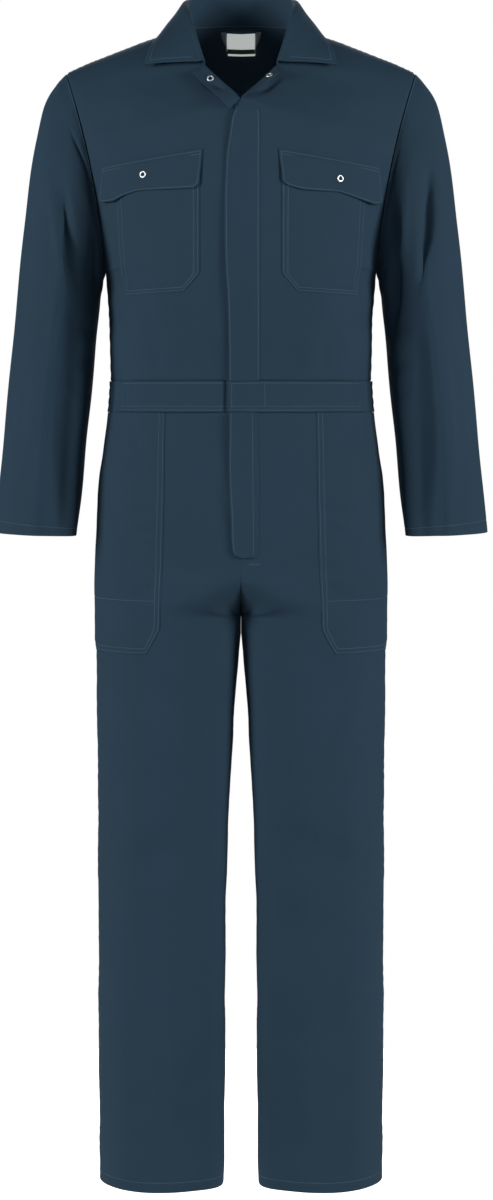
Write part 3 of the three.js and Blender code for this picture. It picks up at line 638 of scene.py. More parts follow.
def new_finish(name):
    material = bpy.data.materials.new(name)
    material.use_nodes = True
    return material, material.node_tree, material.node_tree.nodes["Principled BSDF"]


def cloth_finish(name, light, dark, rib=450.0, rough=0.78, **extra):
    material, tree, shader = new_finish(name)
    set_up(shader, **{"Sheen Weight": 0.02, "Sheen Roughness": 0.4,
                      "Sheen Tint": (0.55, 0.78, 1.0, 1), "Specular IOR Level": 0.2, **extra})
    weave = node_of(tree, "ShaderNodeGroup", node_tree=woven, Light=(*light, 1), Dark=(*dark, 1),
                    Rib=rib, Roughness=rough)
    bump = node_of(tree, "ShaderNodeBump", Strength=0.3, Distance=0.00025)
    join(weave, "Height", bump, "Height")
    join(bump, "Normal", shader, "Normal")
    join(weave, "Color", shader, "Base Color")
    join(weave, "Roughness", shader, "Roughness")
    return material


blue = cloth_finish("blue twill", (0.0235, 0.0545, 0.088), (0.016, 0.038, 0.062))
thread = cloth_finish("blue thread", (0.125, 0.205, 0.265), (0.085, 0.150, 0.200), rib=2600.0)
# The label's satin gets a painted glow: emission that brightens it inside the shaded neck, though
# it is no lamp
painted_glow = {"Emission Color": (0.9, 0.95, 0.92, 1), "Emission Strength": 0.4}
satin = cloth_finish("white satin tape with painted glow", (0.86, 0.88, 0.86), (0.78, 0.80, 0.79), rib=1300.0,
                     rough=0.5, **painted_glow)
green = cloth_finish("green woven band", (0.035, 0.16, 0.075), (0.02, 0.11, 0.05), rib=1300.0,
                     rough=0.6)
grey = cloth_finish("grey tape", (0.30, 0.33, 0.36), (0.20, 0.23, 0.26), rib=900.0, rough=0.7)


def nickel_finish():
    material, tree, shader = new_finish("brushed nickel")
    set_up(shader, Metallic=0.9)
    marks = node_of(tree, "ShaderNodeTexNoise", Scale=1400.0, Detail=3.0)
    join(node_of(tree, "ShaderNodeTexCoord"), "Object", marks, "Vector")
    rough = node_of(tree, "ShaderNodeMapRange", **{"To Min": 0.25, "To Max": 0.42})
    join(marks, "Fac", rough, "Value")
    join(rough, "Result", shader, "Roughness")
    tint = node_of(tree, "ShaderNodeMix", data_type="RGBA")
    tint.inputs[6].default_value = (0.78, 0.79, 0.80, 1)
    tint.inputs[7].default_value = (0.90, 0.91, 0.92, 1)
    join(marks, "Fac", tint, "Factor")
    join(tint, 2, shader, "Base Color")
    return material


nickel = nickel_finish()


# Making pieces
def shown(name, data):
    made = bpy.data.objects.new(name, data)
    bpy.context.scene.collection.objects.link(made)
    return made


def stand(name, bm, finish):
    """Puts a finished mesh into the scene, riding on the suit."""
    mesh = bpy.data.meshes.new(name)
    bm.to_mesh(mesh)
    bm.free()
    mesh.materials.append(finish)
    piece = shown(name, mesh)
    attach(piece, "root")
    return piece


def bend_grid(name, grid, normals, finish, wall, ring):
    """Bends a flat grid of faces onto rows of points and gives it its wall, which lies inside."""
    rows, columns = grid.shape[:2]
    bm = bmesh.new()
    layer = bm.loops.layers.uv.new("cloth")
    bmesh.ops.create_grid(bm, x_segments=columns - 1, y_segments=rows - 1, size=0.5)
    bm.verts.index_update()
    across, along = mean_run(grid, 1), mean_run(grid, 0)
    spots = [
        (round((v.co.y + 0.5) * (rows - 1)), round((v.co.x + 0.5) * (columns - 1)))
        for v in bm.verts
    ]
    for face in bm.faces:
        face.smooth = True
        for loop in face.loops:
            j, i = spots[loop.vert.index]
            loop[layer].uv = (across[i] * MM, along[j] * MM)
    for v, (j, i) in zip(bm.verts, spots):
        v.co = Vector(grid[j, i]) * MM
    bm.normal_update()
    bm.faces.ensure_lookup_table()
    votes = 0.0
    for k in range(0, len(bm.faces), max(1, len(bm.faces) // 40)):
        face = bm.faces[k]
        j, i = spots[face.verts[0].index]
        votes += float(np.dot(np.array(face.normal), normals[j, i]))
    if votes < 0:
        bmesh.ops.reverse_faces(bm, faces=bm.faces)
    if ring:
        bmesh.ops.remove_doubles(bm, verts=bm.verts, dist=1e-6)
    piece = stand(name, bm, finish)
    thick = piece.modifiers.new("wall", "SOLIDIFY")
    thick.thickness = wall * MM
    thick.offset = -1
    return piece


places = {}
THREAD_HIGH = 0.6


def cloth(part, place, across, along, nodes=None, kind="cloth", held="hung", wall=1.1,
          finish=blue, ring=False):
    """One piece of a part, on a surface, whose cut is measured unless it isn't held.

    It replaces the node of its part's name, or the nodes that are given.
    """
    grid, normals = place(*np.meshgrid(across, along))
    piece = bend_grid(f"{part}_{kind}", grid, normals, finish, wall, ring)
    places[part] = place
    nodes = [part] if nodes is None else nodes
    if nodes:
        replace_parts(piece, *nodes)
    if not held:
        return piece
    width = max(run_of(row)[-1] for row in grid) * MM
    length = max(run_of(grid[:, i])[-1] for i in range(grid.shape[1])) * MM
    return piece


def sew(name, lines, pitch=3.3, long=2.7, wide=0.9):
    """Rows of stitches: each line is a place and the two readings that it follows."""
    bm = bmesh.new()
    for place, a, b in lines:
        path, normals = place(*np.broadcast_arrays(np.asarray(a, float), b))
        run = run_of(path)
        count = max(2, int(run[-1] / pitch))
        at = (np.arange(count) + 0.5) * run[-1] / count
        spots = on_path(at, run, path)
        up = unit(on_path(at, run, normals))
        forth = unit(on_path(at + 1, run, path) - on_path(at - 1, run, path))
        beside = np.cross(up, forth)
        for p, f, s, n in zip(spots, forth, beside, up):
            stitch = np.eye(4)
            axes = [f * long / 2, s * wide / 2, n * THREAD_HIGH / 2, p + n * 0.12]
            stitch[:3] = np.stack(axes, axis=1) * MM
            bmesh.ops.create_icosphere(bm, subdivisions=1, radius=1, matrix=Matrix(stitch))
    for face in bm.faces:
        face.smooth = True
    return stand(name, bm, thread)


def line(first, last, count=60):
    return np.linspace(first, last, count)


SIDES = (("left", 1), ("right", -1))

# Bodice
FRONT_WIDE = 235.0
ROW_HIGH = 25.0
SIDE_ROW_HIGH = 37.0


def seams_of_bodice(across, row):
    across = np.abs(across)
    run = row * ROW_HIGH
    lift = dip((1 - across) * FRONT_WIDE, run) + dip(row * SIDE_ROW_HIGH, across * FRONT_WIDE)
    return lift + dip((TOP_ROW - row) * ROW_HIGH, across * FRONT_WIDE)


def gathers(run):
    """Uneven waves that the elastic at the back of the waist draws up in the cloth beside it."""
    return np.cos(run * 0.41 + 0.8 * np.sin(run * 0.07)) + 0.4 * np.cos(run * 0.23 + 1)


def blouse(across, row):
    run = across * FRONT_WIDE
    return 1.5 * gathers(run) * np.exp(-row * SIDE_ROW_HIGH / (34 + 14 * np.sin(run * 0.09)))


def back_height(across, row):
    return seams_of_bodice(across, row) + blouse(across, row)


def front_height(across, row):
    """The gathers reach only a little way round from the side seam."""
    return seams_of_bodice(across, row) + blouse(across, row) * smooth(across, 0.78, 0.95)


def off_armhole(across, row):
    """How much of the creases a bodice panel keeps: they die out where it joins the sleeve."""
    return 1 - smooth(row, SIDE_ROWS - 1, SIDE_ROWS) * (1 - smooth(1 - np.abs(across), 0, 0.06))


# Distances from a seam or an edge at which a sheet gets extra rows
BY_SEAM = (4, 8)
BY_STITCHES = (2.4, 4, 6, 8)
SIDE_RUN, ARM_RUN = 149.0, 300.0
bodice_run = ladder(SIDE_RUN + ARM_RUN, 3.6, BY_SEAM) * (SIDE_RUN + ARM_RUN)
bodice_rows = np.interp(bodice_run, [0, SIDE_RUN, SIDE_RUN + ARM_RUN], [0, SIDE_ROWS, TOP_ROW])
for side_name, hand in SIDES:
    cloth(f"front_{side_name}", mirrored(laid(on_front, front_height, off_armhole), hand),
          ladder(PANEL_WIDE, 3.2, BY_SEAM), bodice_rows)
back_half = ladder(250, 4, BY_SEAM)
cloth("back", laid(on_back, back_height, off_armhole),
      np.concatenate([-back_half[:0:-1], back_half]), bodice_rows)

# Sleeves, each with a hem turned up inside the cuff
CUFF_STITCH = CUFF - 0.2
HEM_FOLD = 1.6


def sleeve_place(side_name):
    @paired
    def place(turn, station):
        inside = station > CUFF
        real = np.where(inside, 2 * CUFF - station, station)
        point, normal = on_sleeve(turn, real)
        lift = -HEM_FOLD * smooth(station, CUFF - 0.01, CUFF + 0.03)
        lift = lift + groove((CUFF - station) * STATION, (CUFF - CUFF_STITCH) * STATION)
        lift = lift + dip(station * STATION, turn * ROUND_ARM) - sleeve_sunk(side_name, turn, real)
        tucked = 1 - smooth(station, 0, 0.012)
        point = point + normal * (lift - 1.5 * tucked)[..., None]
        point[..., 0] += 0.3 - 2.2 * tucked
        return point, normal

    return place


sleeve_turns = np.linspace(0, 1, 109)
sleeve_rows = np.concatenate([
    [0, 0.012, 0.025, 0.06, 0.1], np.linspace(0.15, 9.7, 130),
    [9.74, 9.77, 9.785, 9.8, 9.815, 9.84, 9.9, 9.97, 9.99, 10, 10.02, 10.1, 10.26],
])
for side_name, hand in SIDES:
    cloth(f"sleeve_{side_name}", mirrored(sleeve_place(side_name), hand), sleeve_turns,
          sleeve_rows, ring=True)

# Legs, each with a hem turned up inside
HEM_STITCH = 14.0
LEG_WIDE = 300.0
# The front is drawn flat beside the gap between the legs, and filled out over the crotch
INNER_FLAT = 10.0
CROTCH_FULL = 7.5


def leg_height(across, height):
    lift = dip(across * LEG_WIDE, height) + dip((1 - across) * LEG_WIDE, height)
    lift = lift + dip(WAIST_FOOT - height, across * LEG_WIDE)
    return lift + groove(height - HEM_FOOT, HEM_STITCH)


def back_leg_height(across, height):
    wave = gathers(across * LEG_WIDE)
    return leg_height(across, height) + 1.3 * wave * np.exp((height - WAIST_FOOT) / 38)


def leg_place(spot, lift):
    place = laid(spot, lift)

    @paired
    def turned(across, height):
        inside = height < HEM_FOOT
        point, normal = place(across, np.where(inside, 2 * HEM_FOOT - height, height))
        depth = HEM_FOLD * smooth(-height, -HEM_FOOT - 0.5, -HEM_FOOT + 1.5)
        point = point - normal * depth[..., None]
        joined = smooth(height, CROTCH - 15, CROTCH - 7) * (1 - smooth(across * LEG_WIDE, 0, 9))
        apart = np.maximum(point[..., 0], 0.15)
        point[..., 0] = np.where(joined > 0, mix(apart, 0, joined), apart)
        return point, normal

    return turned


leg_heights = np.concatenate([
    HEM_FOOT + np.array([-16, -8, -2, -0.8, 0, 1, 4, 8, 11, 12.8, 14, 15.2, 17, 20]),
    np.linspace(HEM_FOOT + 28, CROTCH - 46, 100),
    np.linspace(CROTCH - 40, CROTCH + 70, 40),
    np.linspace(CROTCH + 75, WAIST_FOOT - 8, 40),
    WAIST_FOOT + np.array([-4, -1.6, -0.7, 0]),
])


def front_leg_height(across, height):
    run = across * LEG_WIDE
    flat = INNER_FLAT * smooth(CROTCH - height, -44, 22) * hump(run - 56, 32)
    filled = CROTCH_FULL * hump(height - CROTCH - 10, 26) * hump(run, 80)
    return leg_height(across, height) + flat + filled * smooth(run, 1, 12)


for side_name, hand in SIDES:
    for face_name, spot, lift, step in (
        ("front", on_front_leg, front_leg_height, 6), ("back", on_back_leg, back_leg_height, 4.5)
    ):
        cloth(f"leg_{face_name}_{side_name}", mirrored(leg_place(spot, lift), hand),
              ladder(LEG_WIDE, step, BY_SEAM), leg_heights)

# Waistband: flat at the front, and gathered on elastic from side to side at the back
FRONT_EDGE = -15.0
ELASTIC_FROM = 0.178
GATHERS = 28
BAND = WAIST_TOP - WAIST_FOOT
overlap = math.asin(FRONT_EDGE / float(side("side", WAIST_TOP))) / (2 * math.pi)
band_heights = WAIST_FOOT + ladder(BAND, 3, (3.0, 6.0)) * BAND
BAND_FOLDS = table("turn lean depth width", [
    (-0.019, 0.02, 1.6, 2.6), (-0.027, -0.03, 1.2, 2.4), (-0.036, 0.02, 0.9, 3),
    (0.021, 0.03, -0.9, 2.2), (0.034, -0.1, 1.1, 4), (0.048, -0.12, 0.8, 5), (0.165, 0.02, 1.4, 3),
    (-0.165, -0.02, 1.4, 3), (0.155, 0.03, -0.8, 3), (-0.155, 0, -0.8, 3), (0.1, 0, 0.6, 12),
    (-0.1, 0, 0.6, 12),
])
ROUND_WAIST = 930.0
BAND_STITCH = 3
FOOT_STITCH = 8
ELASTIC_STITCHES = (8, 21, 34)


@paired
def band_place(turn, height):
    point, normal = on_waist(turn, height)
    from_foot, from_top = height - WAIST_FOOT, WAIST_TOP - height
    lift = 0.7 + 1.1 * smooth(np.minimum(from_foot, from_top), 0, 2.5)
    lift = lift + groove(from_foot, BAND_STITCH) + groove(from_foot, FOOT_STITCH)
    lift = lift + groove(from_top, BAND_STITCH)
    from_end = (turn - overlap) * ROUND_WAIST
    lapped = (1.9 - 1.9 * smooth(from_end, 4, 34)) - 0.8 * hump(from_end, 0.8)
    lift = lift + np.where(turn >= overlap, lapped, -2.4 * (1 - smooth(-from_end, 1.5, 10)))
    for t, lean, depth, width in zip(*BAND_FOLDS.values()):
        off = (turn - t) * ROUND_WAIST - lean * (height - WAIST_FOOT)
        lift = lift - depth * hump(off, width)
    return point + normal * lift[..., None], normal


@paired
def elastic_place(turn, height):
    point, normal = on_waist(turn, height)
    share = (turn - ELASTIC_FROM) / (1 - 2 * ELASTIC_FROM)
    ends = smooth(share, 0, 0.04) * (1 - smooth(share, 0.96, 1))
    phase = share * GATHERS * 2 * np.pi + 0.9 * np.sin(share * 31)
    wave = np.cos(phase + 0.3 * np.sin(height * 0.2))
    from_foot = height - WAIST_FOOT
    held_in = sum(hump(from_foot - at, 2) for at in ELASTIC_STITCHES)
    return point + normal * (1.1 + 1.5 * ends * wave * (1 - 0.55 * held_in))[..., None], normal


cloth("waistband_left", band_place, mix(overlap, ELASTIC_FROM, ladder(230, 2.4, (3,))),
      band_heights, held="stretched")
cloth("waistband_right", band_place, mix(-ELASTIC_FROM, overlap, ladder(190, 2.4, (3,))),
      band_heights, held="stretched")
cloth("waistband_back", elastic_place, mix(ELASTIC_FROM, 1 - ELASTIC_FROM, line(0, 1, 337)),
      band_heights, held="gathered")

# The covered closing
UPPER = table("height near far", [
    (-462, -16, 26), (-424, -16, 26), (-386, -16.5, 26), (-348, -17.5, 26), (-313, -20, 26),
    (-282, -21, 26), (-252, -21, 26), (-221, -21, 26), (-190, -20, 26), (-160, -18, 26),
    (-136, -14, 26), (-118, -11, 25.5), (-103, -6, 24),
])
FLY = table("height near far", [
    (-698, -2, 22), (-693, -9, 24), (-680, -12, 24.5), (-650, -13, 24.5), (-618, -14.5, 24.5),
    (-580, -16, 24.5), (-542, -15.5, 24), (-504, -15, 23),
])
UPPER_WIDE, FLY_WIDE = 44.0, 38.0
EDGE_STITCH = 2.4


def strip_place(rows, where, wide):
    @paired
    def place(s, height):
        near, far = read(rows, "near", height, "height"), read(rows, "far", height, "height")
        edge = wide * s
        lift = mix(4.4, 0.35, smooth(s, 0.15, 0.85)) - 1.8 * hump(edge, 0.8)
        lift = lift + groove(edge, EDGE_STITCH) + groove(wide - edge, 3) * (wide > FLY_WIDE)
        lift = lift + 0.5 * np.sin(height * 0.045) * hump(edge, 16)
        return off_cloth(where(mix(near, far, s), height), lift)

    return place


for part, rows, where, wide, step, under in (
    ("upper", UPPER, front_at, UPPER_WIDE, 5, "front"),
    ("fly", FLY, front_leg_at, FLY_WIDE, 4, "leg_front"),
):
    low, high = rows["height"][[0, -1]]
    cloth(f"placket_{part}", strip_place(rows, where, wide), ladder(wide, 2.4, (EDGE_STITCH, 4)),
          mix(low, high, ladder(high - low, step)), held="laid")

# Pockets and flaps
CHEST_POCKET = table("row nearX nearZ farX farZ", [
    (0, 75, -344, 160, -348), (1, 54, -320, 161.5, -325), (2, 54, -292, 163.5, -298),
    (3, 54, -238, 166, -247), (4, 54, -187, 168, -202), (5, 54, -164, 169, -180),
])
POCKET_FLAP = table("row nearX nearZ farX farZ", [
    (0, 61, -206, 184, -222), (0.25, 54, -200, 187.5, -217), (1, 52, -180, 187.5, -198),
    (2, 50, -158, 187, -177),
])
HIP_POCKET = table("height near", [
    (-829, 128), (-812, 118), (-795, 109), (-715, 105.5), (-624, 103), (-504, 101),
])
SIDE_STOP = 0.965
POCKET_WIDE, POCKET_HIGH = 112.0, 168.0
FLAP_WIDE, FLAP_HIGH = 135.0, 46.0
HIP_WIDE, HIP_FOOT = 150.0, -829.0
HIP_BAR, HIP_CORNER, HIP_TOP = -757.0, -795.0, -504.4
POCKET_CORNER, FLAP_CORNER = 0.2, 0.125
SECOND_STITCH = 8.0
FLAP_STITCH = 6.5


def straight(rows, key, place, at):
    return np.interp(place, rows[at], rows[key])


def patch_place(rows, lift, sag=None):
    last = rows["row"][-1]

    @paired
    def place(s, t):
        x, z = (
            mix(*(straight(rows, end + axis, t * last, "row") for end in ("near", "far")), s)
            for axis in "XZ"
        )
        down = straight(sag, "drop", s, "share") * (1 - t) ** 1.5 if sag else 0
        return off_cloth(front_at(x, z - down), lift(s, t))

    return place


def pocket_lift(s, t):
    edge = np.minimum(np.minimum(s, 1 - s) * POCKET_WIDE, t * POCKET_HIGH)
    soft = 1.2 * np.sin(s * np.pi) * smooth(t, 0.3, 0.95)
    drawn = 0.3 * np.sin(t * 31 + 4 * s) * hump(edge - 10, 6)
    lift = 0.8 + 1.2 * smooth(edge, 0, 12) + groove(edge, EDGE_STITCH)
    return lift + groove(edge, SECOND_STITCH) + soft + drawn


FLAP_SAGS = {
    "left": table("share drop", [
        (0, 0), (0.16, 2.6), (0.35, 0.5), (0.55, -2.2), (0.8, 2.4), (0.92, 4.6), (1, 2),
    ]),
    "right": table("share drop", [
        (0, 4), (0.2, 1), (0.4, -2), (0.6, -5), (0.75, -2.5), (0.86, 2.2), (1, 0.5),
    ]),
}


def flap_lift(s, t):
    edge = np.minimum(np.minimum(s, 1 - s) * FLAP_WIDE, t * FLAP_HIGH)
    bulge = np.sin(np.clip(s * 1.25 - 0.1, 0, 1) * np.pi)
    free = 1.9 + 1.9 * (1 - t) ** 1.3 + 2.6 * bulge * (1 - t) ** 1.5
    free = free + (1 - t) ** 2 * (1.4 * np.sin(s * 8 + 0.5) + 2.2 * smooth(s, 0.72, 0.95))
    free = free - 0.7 * hump(edge, 0.7) + groove(edge, EDGE_STITCH)
    return free + groove((1 - t) * FLAP_HIGH, FLAP_STITCH)


@paired
def hip_place(s, height):
    near = across_at(front_leg, straight(HIP_POCKET, "near", height, "height"), height)
    edge = np.minimum(s * HIP_WIDE, height - HIP_FOOT)
    lift = 0.8 + 1.2 * smooth(edge, 0, 14) + groove(edge, 2) + groove(edge, SECOND_STITCH)
    lift = lift + groove(height - HIP_BAR, 0) + 1.2 * np.sin(s * np.pi) * smooth(height, -700, -560)
    drawn = 0.35 * np.sin(height * 0.33 + 2 * np.sin(height * 0.05)) * hump(s * HIP_WIDE - 14, 9)
    return off_cloth(on_front_leg(mix(near, SIDE_STOP, s), height), lift + drawn)


pocket_rows = np.union1d(ladder(POCKET_HIGH, 4.5, BY_STITCHES), POCKET_CORNER)
flap_rows = np.union1d(ladder(FLAP_HIGH, 2.2, (EDGE_STITCH, 4, FLAP_STITCH)), FLAP_CORNER)
hip_heights = np.union1d(mix(HIP_FOOT, HIP_TOP, ladder(325, 4.5, BY_STITCHES)),
                         [HIP_CORNER, HIP_BAR - 1, HIP_BAR, HIP_BAR + 1])
for side_name, hand in SIDES:
    flap_place = patch_place(POCKET_FLAP, flap_lift, FLAP_SAGS[side_name])
    for part, place, across, along, under in (
        ("chest_pocket", patch_place(CHEST_POCKET, pocket_lift),
         ladder(POCKET_WIDE, 4.5, BY_STITCHES), pocket_rows, "front"),
        ("pocket_flap", flap_place, ladder(FLAP_WIDE, 3.5, (EDGE_STITCH, 4)), flap_rows,
         "chest_pocket"),
        ("hip_pocket", hip_place, ladder(HIP_WIDE, 4, BY_STITCHES), hip_heights, "leg_front"),
    ):
        cloth(f"{part}_{side_name}", mirrored(place, hand), across, along, held="laid")


# Collar, one cut that runs up from the neck seam, over the fold and down to its outer edge
def upon(x, y):
    """Where a plan point of the leaf's edge lies on the front or the back."""
    spots = []
    for surface, spot in ((front_bodice, on_front), (back_bodice, on_back)):

        def nearer(row, surface=surface):
            return np.abs(surface(across_at(surface, x, row), row)[..., 1]) > np.abs(y)

        row = halve(np.full(x.shape, SIDE_ROWS + 5.0), np.full(x.shape, float(TOP_ROW)), nearer)
        spots.append(spot(across_at(surface, x, row), row))
    (front, front_normal), (back, back_normal) = spots
    ahead = (y < 0)[..., None]
    return np.where(ahead, front, back), np.where(ahead, front_normal, back_normal)


foot_shares = np.linspace(0, 1, 61)
foot_points, foot_normals = upon(
    read(LEAF_EDGE, "x", foot_shares, "share"), read(LEAF_EDGE, "y", foot_shares, "share")
)
foot_lift = 3.4 + 6.0 * smooth(foot_shares, 0.62, 0.97)
foot_points = foot_points + foot_normals * foot_lift[:, None]


COLLAR_HIGH, COLLAR_HALF = 105.0, 210.0
COLLAR_STITCH = 0.943
COLLAR_MARKS = np.array([0, 0.17, 0.29, 0.36, 0.41, 0.47, 0.62, 0.81, 1.0])


@paired
def collar_section(share, down):
    hand = np.where(share < 0, -1.0, 1.0)
    s = np.abs(share)
    fold = points(*(read(FOLD, k, s, "share") for k in "xyz"))
    foot = on_path(s, foot_shares, foot_points)
    neck = neck_seam(s)
    out = unit((foot - fold) * np.array([1, 1, 0]))
    forward = smooth(s, 0.5, 1)
    lift = unit(points(0, -forward, 1 - 0.55 * forward))
    bow = 1 + 0.25 * np.sin(s * 7.5)
    knots = [
        neck,
        mix(neck, fold, 0.5) - out * 1.2,
        mix(neck, fold, 0.85) - out * 1.6,
        fold + lift * 2.4 - out * 1.0,
        fold + lift * 4.2 + out * 2.6,
        fold + lift * 2.6 + out * 7.5,
        mix(fold, foot, 0.3) + out * 6.2 + lift * 2.4 * bow[..., None],
        mix(fold, foot, 0.65) + out * 3.8 + lift * 2.2 * bow[..., None],
        foot,
    ]
    made = np.zeros(fold.shape)
    for axis in range(3):
        stack = np.stack([knot[..., axis] for knot in knots], axis=-1)
        made[..., axis] = curve(COLLAR_MARKS, stack, down)
    made[..., 0] *= hand
    return made


@paired
def on_collar(share, down):
    a, b = np.clip(share, -0.998, 0.998), np.clip(down, 0.004, 0.996)
    normal = normal_on(collar_section, a, b, 1, 1, 1)
    edge = np.minimum((1 - down) * COLLAR_HIGH, (1 - np.abs(share)) * COLLAR_HALF)
    turned_in = -0.6 * hump(edge, 0.8) * (down > 0.4)
    lift = turned_in + groove(edge, 6) * (down > 0.5)
    return collar_section(share, down) + normal * lift[..., None], normal


collar_down = np.concatenate([
    line(0, 0.29, 12), line(0.305, 0.5, 18), line(0.52, 0.9, 16),
    [0.92, 0.932, COLLAR_STITCH, 0.955, 0.97, 0.985, 0.993, 1.0],
])
cloth("collar", on_collar, -1 + ladder(2 * COLLAR_HALF, 3, (2.4, 4.5, 6, 7.5)) * 2, collar_down,
      ["collar_stand", "collar_leaf"], held="folded", wall=1.6)

# The top corners of the fronts, turned back: a band on the right, a corner on the left
LAPELS = {
    "right": table("row nearX nearZ farX farZ", [(0, 0, -91, 14, -107), (1, 48, -42, 63, -58)]),
    "left": table("row nearX nearZ farX farZ", [
        (0, 1, -90, 3, -91.5), (0.45, 22, -68.5, 30, -72.5), (1, 47.5, -42.5, 50, -60),
    ]),
}


def lapel_lift(rise):
    def lift(s, t):
        free = smooth(s, 0.25, 1) * (3.2 + rise * t)
        return 0.2 + 1.6 * smooth(s, 0, 0.14) + free + 0.3 * np.sin(t * 9)

    return lift


LAPEL_RISE = {"left": 3.6, "right": 1.0}
for side_name, hand in SIDES:
    place = patch_place(LAPELS[side_name], lapel_lift(LAPEL_RISE[side_name]))
    cloth(f"lapel_{side_name}", mirrored(place, hand), ladder(20, 1.8), ladder(70, 2.5),
          held="folded", wall=0.9)

# Sewing
for side_name, hand in SIDES:
    def on(name, side_name=side_name):
        return places[f"{name}_{side_name}"]

    pocket, lines = on("chest_pocket"), []
    for d in (EDGE_STITCH, SECOND_STITCH):
        s, t = d / POCKET_WIDE, d / POCKET_HIGH
        lines += [(pocket, s, line(0.88, t)), (pocket, line(s, 1 - s), t),
                  (pocket, 1 - s, line(t, 0.88))]
    sew(f"pocket_stitches_{side_name}", lines)
    flap = on("pocket_flap")
    s, t = EDGE_STITCH / FLAP_WIDE, EDGE_STITCH / FLAP_HIGH
    sew(f"flap_stitches_{side_name}", [
        (flap, s, line(1 - t, t)), (flap, line(s, 1 - s), t), (flap, 1 - s, line(t, 1 - t)),
        (flap, line(s, 1 - s), 1 - t), (flap, line(s, 1 - s), 1 - FLAP_STITCH / FLAP_HIGH),
    ])
    hip = on("hip_pocket")
    sew(f"hip_stitches_{side_name}", [
        *((hip, d / HIP_WIDE, line(-505, HIP_FOOT + d, 120)) for d in (EDGE_STITCH, SECOND_STITCH)),
        *((hip, line(d / HIP_WIDE, 0.99), HIP_FOOT + d) for d in (EDGE_STITCH, SECOND_STITCH)),
        (hip, line(SECOND_STITCH / HIP_WIDE, 0.99), HIP_BAR),
    ])
    sleeve_on = on("sleeve")
    sew(f"cuff_stitches_{side_name}", [(sleeve_on, line(0, 1, 120), CUFF_STITCH)])
    sew(f"armhole_stitches_{side_name}", [(sleeve_on, line(0, 1, 160), 0.1)])
    sew(f"hem_stitches_{side_name}", [
        (on(part), line(0.004, 0.996, 80), HEM_FOOT + HEM_STITCH)
        for part in ("leg_front", "leg_back")
    ])
    shoulder = TOP_ROW - 5 / ROW_HIGH
    sew(f"shoulder_stitches_{side_name}", [(on("front"), line(0.02, 0.985, 60), shoulder)])
    sew(f"elastic_stitches_{side_name}", [
        (elastic_place, line(0.5, 0.5 - hand * 0.23, 200), WAIST_FOOT + at)
        for at in ELASTIC_STITCHES
    ])

upper, fly = places["placket_upper"], places["placket_fly"]
upper_run, fly_run = line(-460, -106, 160), line(-694, -506, 90)
sew("closing_stitches", [
    (upper, EDGE_STITCH / UPPER_WIDE, upper_run), (upper, 1 - 3 / UPPER_WIDE, upper_run),
    (fly, EDGE_STITCH / FLY_WIDE, fly_run), (fly, 0.79, fly_run),
])
sew("waistband_stitches", [
    (band_place, overlap + 2.4 / ROUND_WAIST, line(WAIST_FOOT + 4, WAIST_TOP - 4, 20)),
    (band_place, overlap + 39 / ROUND_WAIST, line(WAIST_FOOT + 9, WAIST_TOP - 4, 20)),
    *((band_place, line(-ELASTIC_FROM + 0.002, ELASTIC_FROM - 0.002, 300), height)
      for height in (WAIST_FOOT + BAND_STITCH, WAIST_FOOT + FOOT_STITCH, WAIST_TOP - BAND_STITCH)),
])
sew("collar_stitches", [
    (on_collar, line(-0.972, 0.972, 400), COLLAR_STITCH),
    *((on_collar, end, line(0.52, COLLAR_STITCH)) for end in (0.972, -0.972)),
    (on_collar, line(-0.98, 0.98, 300), 0.03),
])


def bar_place(x, height):
    return off_cloth(front_leg_at(x, height), 0.3)


sew("fly_bar", [(bar_place, line(10.5, 25.5, 20), height) for height in (-706.2, -707.6)],
    pitch=2.2, long=2.6, wide=0.7)

# Open ring snaps, each spun from its profile, flat on the cloth
RING = ((2.7, 0), (2.75, 0.8), (3.3, 1.4), (4.1, 1.3), (4.7, 0.7), (4.85, 0))
SNAPS = (
    ("flap_snap_left", "pocket_flap_left", 0.573, 0.40),
    ("flap_snap_right", "pocket_flap_right", 0.560, 0.48),
    ("neck_snap_left", "lapel_left", 0.42, 0.74),
    ("neck_snap_right", "lapel_right", 0.42, 0.71),
)
for node, carrier, s, t in SNAPS:
    around, normals = places[carrier](
        s + np.array([0, -0.04, 0.04, 0, 0]), t + np.array([0, 0, 0, -0.03, 0.03])
    )
    point, normal = around[0], normals[0]
    square = unit(np.cross(around[2] - around[1], around[4] - around[3]))
    normal = square * np.sign(np.dot(square, normal))
    bm = bmesh.new()
    verts = [bm.verts.new((r * MM, 0, h * MM)) for r, h in RING]
    edges = [bm.edges.new(pair) for pair in zip(verts, verts[1:] + verts[:1])]
    bmesh.ops.spin(bm, geom=[*verts, *edges], cent=(0, 0, 0), axis=(0, 0, 1), angle=2 * math.pi,
                   steps=40, use_merge=True)
    bmesh.ops.remove_doubles(bm, verts=bm.verts, dist=1e-7)
    bmesh.ops.recalc_face_normals(bm, faces=bm.faces)
    for face in bm.faces:
        face.smooth = True
    turned = Vector((0, 0, 1)).rotation_difference(Vector(unit(normal))).to_matrix().to_4x4()
    at = Matrix.Translation(Vector(point + unit(normal) * 0.5) * MM)
    bmesh.ops.transform(bm, matrix=at @ turned, verts=bm.verts)
    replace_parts(stand(f"{node}_ring", bm, nickel), node)

# Inside the back neck: a hanging loop of tape, and over it a bare woven label with a plain band
LOOP_HALF, LOOP_DROP, LOOP_WIDE, LOOP_TOP = 25.0, 24.0, 7.0, 20.0
LOOP_DEPTH, FOOT_DEPTH, LABEL_DEPTH, BAND_DEPTH = 2.2, 3.2, 3.6, 3.9
LABEL_HALF = 20.5


def inside_back(depth):
    return lambda x, height: off_cloth(back_at(x, height), -depth)


@paired
def loop_place(s, edge):
    angle = (s - 0.5) * np.pi
    reach = edge * LOOP_WIDE
    return inside_back(LOOP_DEPTH)((LOOP_HALF + reach) * np.sin(angle),
                            LOOP_TOP - (LOOP_DROP + reach) * np.cos(angle))


